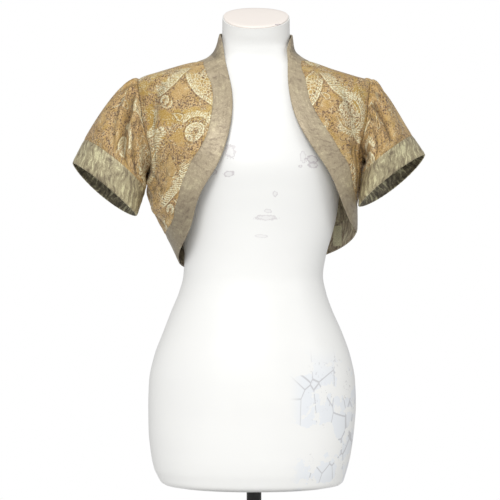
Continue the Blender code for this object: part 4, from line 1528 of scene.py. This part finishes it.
def new_material(name, roughness=0.5, metallic=0.0, specular=0.5):
    """A material, its tree and its shader."""
    made = bpy.data.materials.new(name)
    made.use_nodes = True
    tree = made.node_tree
    shader = tree.nodes["Principled BSDF"]
    shader.inputs["Roughness"].default_value = roughness
    shader.inputs["Metallic"].default_value = metallic
    shader.inputs["Specular IOR Level"].default_value = specular
    return made, tree, shader


def laid_flat(tree):
    """The place on the cloth laid flat, in metres."""
    node = tree.nodes.new("ShaderNodeUVMap")
    node.uv_map = "Cloth laid flat"
    return Sum(tree, node.outputs["UV"])


def painted_crease_shade(tree):
    """Painted crease shade: 1 on level cloth, and less in the creases."""
    node = tree.nodes.new("ShaderNodeAttribute")
    node.attribute_name = "Painted crease shade"
    return 1.0 - Sum(tree, node.outputs["Fac"]) * PAINTED_CREASE_SHADE


def in_metres(tree):
    """The place in the scene."""
    node = tree.nodes.new("ShaderNodeTexCoord")
    return Sum(tree, node.outputs["Object"])


def bumped(shader, height, distance, strength=1.0):
    """Gives the shader a fine relief."""
    node = shader.id_data.nodes.new("ShaderNodeBump")
    node.inputs["Strength"].default_value = strength
    node.inputs["Distance"].default_value = distance
    plug(node.inputs["Height"], height)
    shader.id_data.links.new(node.outputs["Normal"], shader.inputs["Normal"])


def brocade_material(brocade, weave):
    """Gold brocade: the ground in uneven golds, and the figuring over it."""
    made, tree, shader = new_material("gold brocade", metallic=0.15)
    place = laid_flat(tree)
    figuring = use(brocade, tree, Place=place)
    threads = use(weave, tree, Place=place, Thread=BROCADE_THREAD, Slub=BROCADE_SLUB)
    tone = noise(place, 9.0, 3.0)
    mottle = noise(place, 70.0, 4.0, 0.7)
    grain = noise(place, 560.0, 2.0, 0.6)
    colour = mixed(tone.between(0.38, 0.62), GOLD_DEEP, GOLD_LIGHT)
    colour = mixed(figuring["Copper"] * 0.70, colour, COPPER)
    colour = mixed(mottle.between(0.52, 0.64) * 0.60, colour, GOLD_DEEP)
    colour = mixed(mottle.between(0.42, 0.34) * 0.30, colour, CREAM)
    colour = mixed(grain.between(0.50, 0.66) * 0.36, colour, BROWN)
    colour = mixed(grain.between(0.48, 0.34) * 0.24, colour, CREAM)
    colour = mixed(figuring["Brown"] * 0.82, colour, BROWN)
    colour = mixed(figuring["Cream"], colour, CREAM)
    colour = toned(colour, threads["Shade"] * painted_crease_shade(tree))
    plug(shader.inputs["Base Color"], colour)
    plug(shader.inputs["Roughness"], 0.52 - figuring["Cream"] * 0.16 + figuring["Brown"] * 0.12)
    shader.inputs["Sheen Weight"].default_value = 0.08
    bumped(shader, figuring["Raised"] + threads["Height"] * 0.35, 0.00035)
    return made


def inside(place, box):
    """1 within a box given by the least and greatest x, y and z, and 0 outside it."""
    found = None
    for value, (low, high) in zip(split(place), box):
        kept = value.between(low, low + PATCH_EDGE) * value.between(high, high - PATCH_EDGE)
        found = kept if found is None else found * kept
    return found


def taffeta_material(name, taffeta, weave, crush_amount, tones, patch=None, low_painted_shade=0.0):
    """Olive taffeta, with a pale patch within a box painted as a highlight, or painted shade darkening
    it towards the hem.
    """
    made, tree, shader = new_material(name, metallic=0.2)
    place = laid_flat(tree)
    crushed = use(taffeta, tree, Place=place, Crush=crush_amount)
    threads = use(weave, tree, Place=place, Thread=TAFFETA_THREAD, Slub=TAFFETA_SLUB)
    # From the crumples' painted shade to their painted highlight.
    shadow, middle, light = tones
    shade = crushed["Shade"]
    colour = mixed(shade.between(0.15, 0.52), shadow, middle)
    colour = mixed(shade.between(0.52, 0.90), colour, light)
    # A painted highlight: a pale patch within the box.
    if patch:
        knots = cells(place, 330.0, "DISTANCE_TO_EDGE").between(0.06, 0.26)
        colour = mixed(inside(in_metres(tree), patch) * (knots * 0.35 + 0.65), colour, CREAM)
    brightness = threads["Shade"] * painted_crease_shade(tree)
    # Painted shade, darker towards the hem.
    if low_painted_shade:
        height = split(in_metres(tree))[2]
        brightness = brightness * (1.0 - height.between(LOW_PAINTED_SHADE_FROM, LOW_PAINTED_SHADE_TO) * low_painted_shade)
    colour = toned(colour, brightness)
    plug(shader.inputs["Base Color"], colour)
    plug(shader.inputs["Roughness"], 0.48 - shade * 0.14)
    bumped(shader, crushed["Height"] + threads["Height"] * 0.10, 0.0006 * (0.4 + 0.6 * crush_amount))
    return made


def paint_material(name, colour, dull, marks):
    """Old gloss paint, with patches of another tone, hair cracks and the scuffs that are given."""
    made, tree, shader = new_material(name, roughness=0.3)
    place = in_metres(tree)
    x, y, z = split(place)
    cloud = noise(place, 6.0, 3.0, flat=False)
    fine = noise(place, 240.0, 2.0, flat=False)
    uneven = (noise(place, 130.0, 3.0, 0.7, flat=False) - 0.5) * 2.2
    tint = mixed(cloud.between(0.35, 0.65) * 0.35, colour, dull)
    edges = cells(join(x, y, z * 0.55), 30.0, "DISTANCE_TO_EDGE", flat=False)
    hip = z.between(*CRACKED_BELOW) * x.between(*CRACKED_RIGHT_OF)
    cracked = noise(place, 16.0, 4.0, 0.65, flat=False).between(0.49, 0.51) * hip
    crack = edges.between(0.030, 0.010) * cracked
    specks = noise(place, 190.0, 3.0, 0.7, flat=False).between(0.60, 0.66)
    specks = specks * noise(place, 24.0, 2.0, flat=False).between(0.50, 0.60)
    specks = specks * z.between(*SPECKLED_BELOW) * x.between(*SPECKLED_RIGHT_OF)
    front = y.between(0.03, 0.0)
    rims = crack * 0.0
    for at_x, at_z, wide, tall, strength in marks:
        aside, above = (x - at_x) / wide, (z - at_z) / tall
        spread = (aside * aside + above * above).root() + uneven
        rim = spread.line(1.0, 0.60)
        inside = spread.between(1.0, 0.8) * 0.30
        rims = rims.most(rim.most(inside) * front * strength)
    tint = mixed(rims, tint, SCUFF)
    tint = mixed(cracked * 0.55, tint, BARE)
    tint = mixed((crack * 0.45).most(specks * 0.5), tint, CRACK)
    plug(shader.inputs["Base Color"], tint)
    plug(shader.inputs["Roughness"], 0.28 + cloud * 0.12 + rims * 0.2 + fine * 0.05)
    bumped(shader, fine * 0.2 + cloud * 0.8 - crack * 0.6 - rims * 0.3, 0.0004, 0.5)
    return made


def steel_material():
    """Satin black steel with a little dust."""
    made, tree, shader = new_material("black steel", roughness=0.4, metallic=0.3)
    place = in_metres(tree)
    grain = noise(place, 700.0, 2.0, flat=False)
    dust = noise(place, 12.0, 4.0, 0.6, flat=False)
    colour = mixed(dust.between(0.5, 0.75) * 0.5, STEEL_BLACK, STEEL_DUST)
    plug(shader.inputs["Base Color"], colour)
    plug(shader.inputs["Roughness"], 0.34 + dust * 0.25 + grain * 0.06)
    bumped(shader, grain, 0.0002, 0.4)
    return made


def capped_tube(name, rings, look):
    """A closed skin through level rings, with a flat face at each end."""
    rows, columns = rings.shape[:2]
    number = np.arange(rows * columns).reshape(rows, columns)
    beside = np.roll(number, -1, axis=1)
    faces = np.stack([number[:-1], beside[:-1], beside[1:], number[1:]], axis=-1)
    faces = faces.reshape(-1, 4).tolist()
    faces += [number[0][::-1].tolist(), number[-1].tolist()]
    mesh = bpy.data.meshes.new(name)
    mesh.from_pydata(rings.reshape(-1, 3).tolist(), [], faces)
    mesh.materials.append(look)
    mesh.shade_smooth()
    mesh.set_sharp_from_angle(angle=np.radians(SHARP_ANGLE))
    return mesh


def form_rings():
    """The torso's level sections, drawn in a hair under the cloth, with the neck cut on a slant."""
    heights = np.linspace(FORM_SECTIONS[0][0], FORM_SECTIONS[-1][0], FORM_RINGS)[:, None]
    angle = np.linspace(0, 360, FORM_AROUND, endpoint=False)[None, :]
    side = np.where(angle < 180, RIGHT, LEFT)
    turn = np.where(angle < 180, angle, 360 - angle)
    rings = section_point(FORM_SECTIONS, FORM_SQUARENESS, side, turn, heights)
    outward = unit(rings * (1, 1, 0))
    rings = rings - outward * FORM_INSET
    rise = (rings[..., 2] - NECK_SLANT_FROM) / (NECK_TOP - NECK_SLANT_FROM)
    slanted = np.clip(rise, 0, 1) * NECK_SLANT
    rings[..., 2] += slanted * rings[..., 1]
    return rings


def cap_rings(rim):
    """The neck cap: a thin plate with a rounded edge, a little domed."""
    middle = rim.mean(axis=0)
    lift = unit(np.array([0.0, -NECK_SLANT, 1.0]))
    rings = [middle + (rim - middle) * share + lift * rise for share, rise in CAP_PROFILE]
    return np.stack(rings)


def turned_rings(profile, sides):
    """Rings turned about the middle line from (radius, height) rows."""
    turn = np.linspace(0, 2 * np.pi, sides, endpoint=False)
    rows = [
        np.stack([radius * np.cos(turn), radius * np.sin(turn), height + 0 * turn], axis=1)
        for radius, height in profile
    ]
    return np.stack(rows)


def dress_form():
    """The torso, its neck cap and its stand."""
    white = paint_material("white paint", *WHITE_PAINT, FORM_SCUFFS)
    cap = paint_material("cap paint", *CAP_PAINT, CAP_SCUFFS)
    steel = steel_material()
    rings = form_rings()
    add_piece("form_torso", capped_tube("form_torso", rings, white), "form_paint", "dress_form")
    plate = capped_tube("form_neck_plate", cap_rings(rings[-1]), cap)
    add_piece("form_neck_plate", plate, "cap_paint", "neck_cap")
    base = [(BASE_RADIUS - inwards, rise) for inwards, rise in BASE_EDGE]
    base += [(BASE_RADIUS - inwards, BASE_THICKNESS - fall) for inwards, fall in BASE_TOP_EDGE]
    plate = capped_tube("stand_base", turned_rings(base, BASE_SIDES), steel)
    add_piece("stand_base", plate, "black_steel", "base_plate")
    heights = (BASE_THICKNESS, *POLE_RINGS, FORM_SECTIONS[0][0])
    pole = [(POLE_RADIUS, height) for height in heights]
    tube = capped_tube("stand_pole", turned_rings(pole, POLE_SIDES), steel)
    add_piece("stand_pole", tube, "black_steel", "pole")


def jacket():
    """Every cut piece of the jacket."""
    paisley, weave, taffeta = paisley_group(), weave_group(), crush_group()
    brocade = brocade_material(brocade_group(paisley), weave)
    cloth = (taffeta, weave)
    pressed = taffeta_material(
        "olive taffeta, pressed", *cloth, PRESSED_CRUSH, PRESSED_TONES, low_painted_shade=LOW_PAINTED_SHADE
    )
    crushed = taffeta_material("olive taffeta, crushed", *cloth, 1.0, CRUSHED_TONES)
    lining = taffeta_material("lining taffeta", *cloth, 1.0, LINING_TONES, patch=PAINTED_HIGHLIGHT_PATCH)
    # The cuffs' inside, darkened with painted shade.
    cuff_lining_painted_shade = taffeta_material("cuff lining", *cloth, 1.0, CUFF_LINING_PAINTED_SHADE_TONES)
    figured, plain, turned_up = (brocade, lining), (pressed, pressed), (crushed, cuff_lining_painted_shade)
    pieces = [
        sew("jacket_back", "back_panel", back_panel(), figured),
        sew("neck_binding", "neck_band", back_band(neck_edges()), plain),
        sew("back_hem", "hem_band_back", back_band(hem_edges()), (pressed, lining), flip=True),
    ]
    for side, word in ((LEFT, "_left"), (RIGHT, "_right")):
        right = side == RIGHT
        front, band, arm = front_panel(side), front_band(side), sleeve(side)
        pieces += [
            sew("jacket_front" + word, "front" + word, front, figured, flip=right),
            sew("front_binding" + word, "front_band" + word, band, plain, flip=not right),
            sew("jacket_sleeve" + word, "sleeve" + word, arm, figured, True, not right),
            sew("sleeve_cuff" + word, "cuff" + word, cuff(side), turned_up, True, not right),
        ]


def surroundings():
    """The pale floor, the white studio round it, soft lights and the camera."""
    mesh = bpy.data.meshes.new("floor")
    turn = np.linspace(0, 2 * np.pi, FLOOR_SIDES, endpoint=False)
    rim = np.stack([np.cos(turn), np.sin(turn), 0 * turn], axis=1) * FLOOR_RADIUS
    mesh.from_pydata(rim.tolist(), [], [tuple(range(FLOOR_SIDES))])
    pale, _, shader = new_material("pale floor", roughness=0.9)
    shader.inputs["Base Color"].default_value = FLOOR_WHITE
    mesh.materials.append(pale)
    floor = bpy.data.objects.new("floor", mesh)
    bpy.context.scene.collection.objects.link(floor)

    world = bpy.data.worlds.new("white studio")
    world.use_nodes = True
    backdrop = world.node_tree.nodes["Background"]
    backdrop.inputs["Color"].default_value = (1.0, 1.0, 1.0, 1.0)
    path = world.node_tree.nodes.new("ShaderNodeLightPath")
    seen = Sum(world.node_tree, path.outputs["Is Camera Ray"])
    plug(backdrop.inputs["Strength"], choose(seen, 1.0, STUDIO_LIGHT))
    bpy.context.scene.world = world
    bpy.context.scene.view_settings.view_transform = "Standard"

    for name, place, aim, size, power in LAMPS:
        light = bpy.data.lights.new(name, "AREA")
        light.size = size
        light.energy = power
        lamp = bpy.data.objects.new(name, light)
        lamp.location = place
        away = np.array(place) - np.array(aim)
        flat = np.hypot(away[0], away[1])
        lamp.rotation_euler = (np.arctan2(flat, away[2]), 0.0, np.arctan2(away[0], -away[1]))
        bpy.context.scene.collection.objects.link(lamp)

    view = bpy.data.cameras.new("camera")
    view.lens = CAMERA_LENS
    view.sensor_width = 36.0
    camera = bpy.data.objects.new("camera", view)
    camera.location = CAMERA_PLACE
    camera.rotation_euler = np.radians(CAMERA_TURN)
    bpy.context.scene.collection.objects.link(camera)
    bpy.context.scene.camera = camera


def main():
    """Builds the scene."""
    surroundings()
    dress_form()
    jacket()


main()
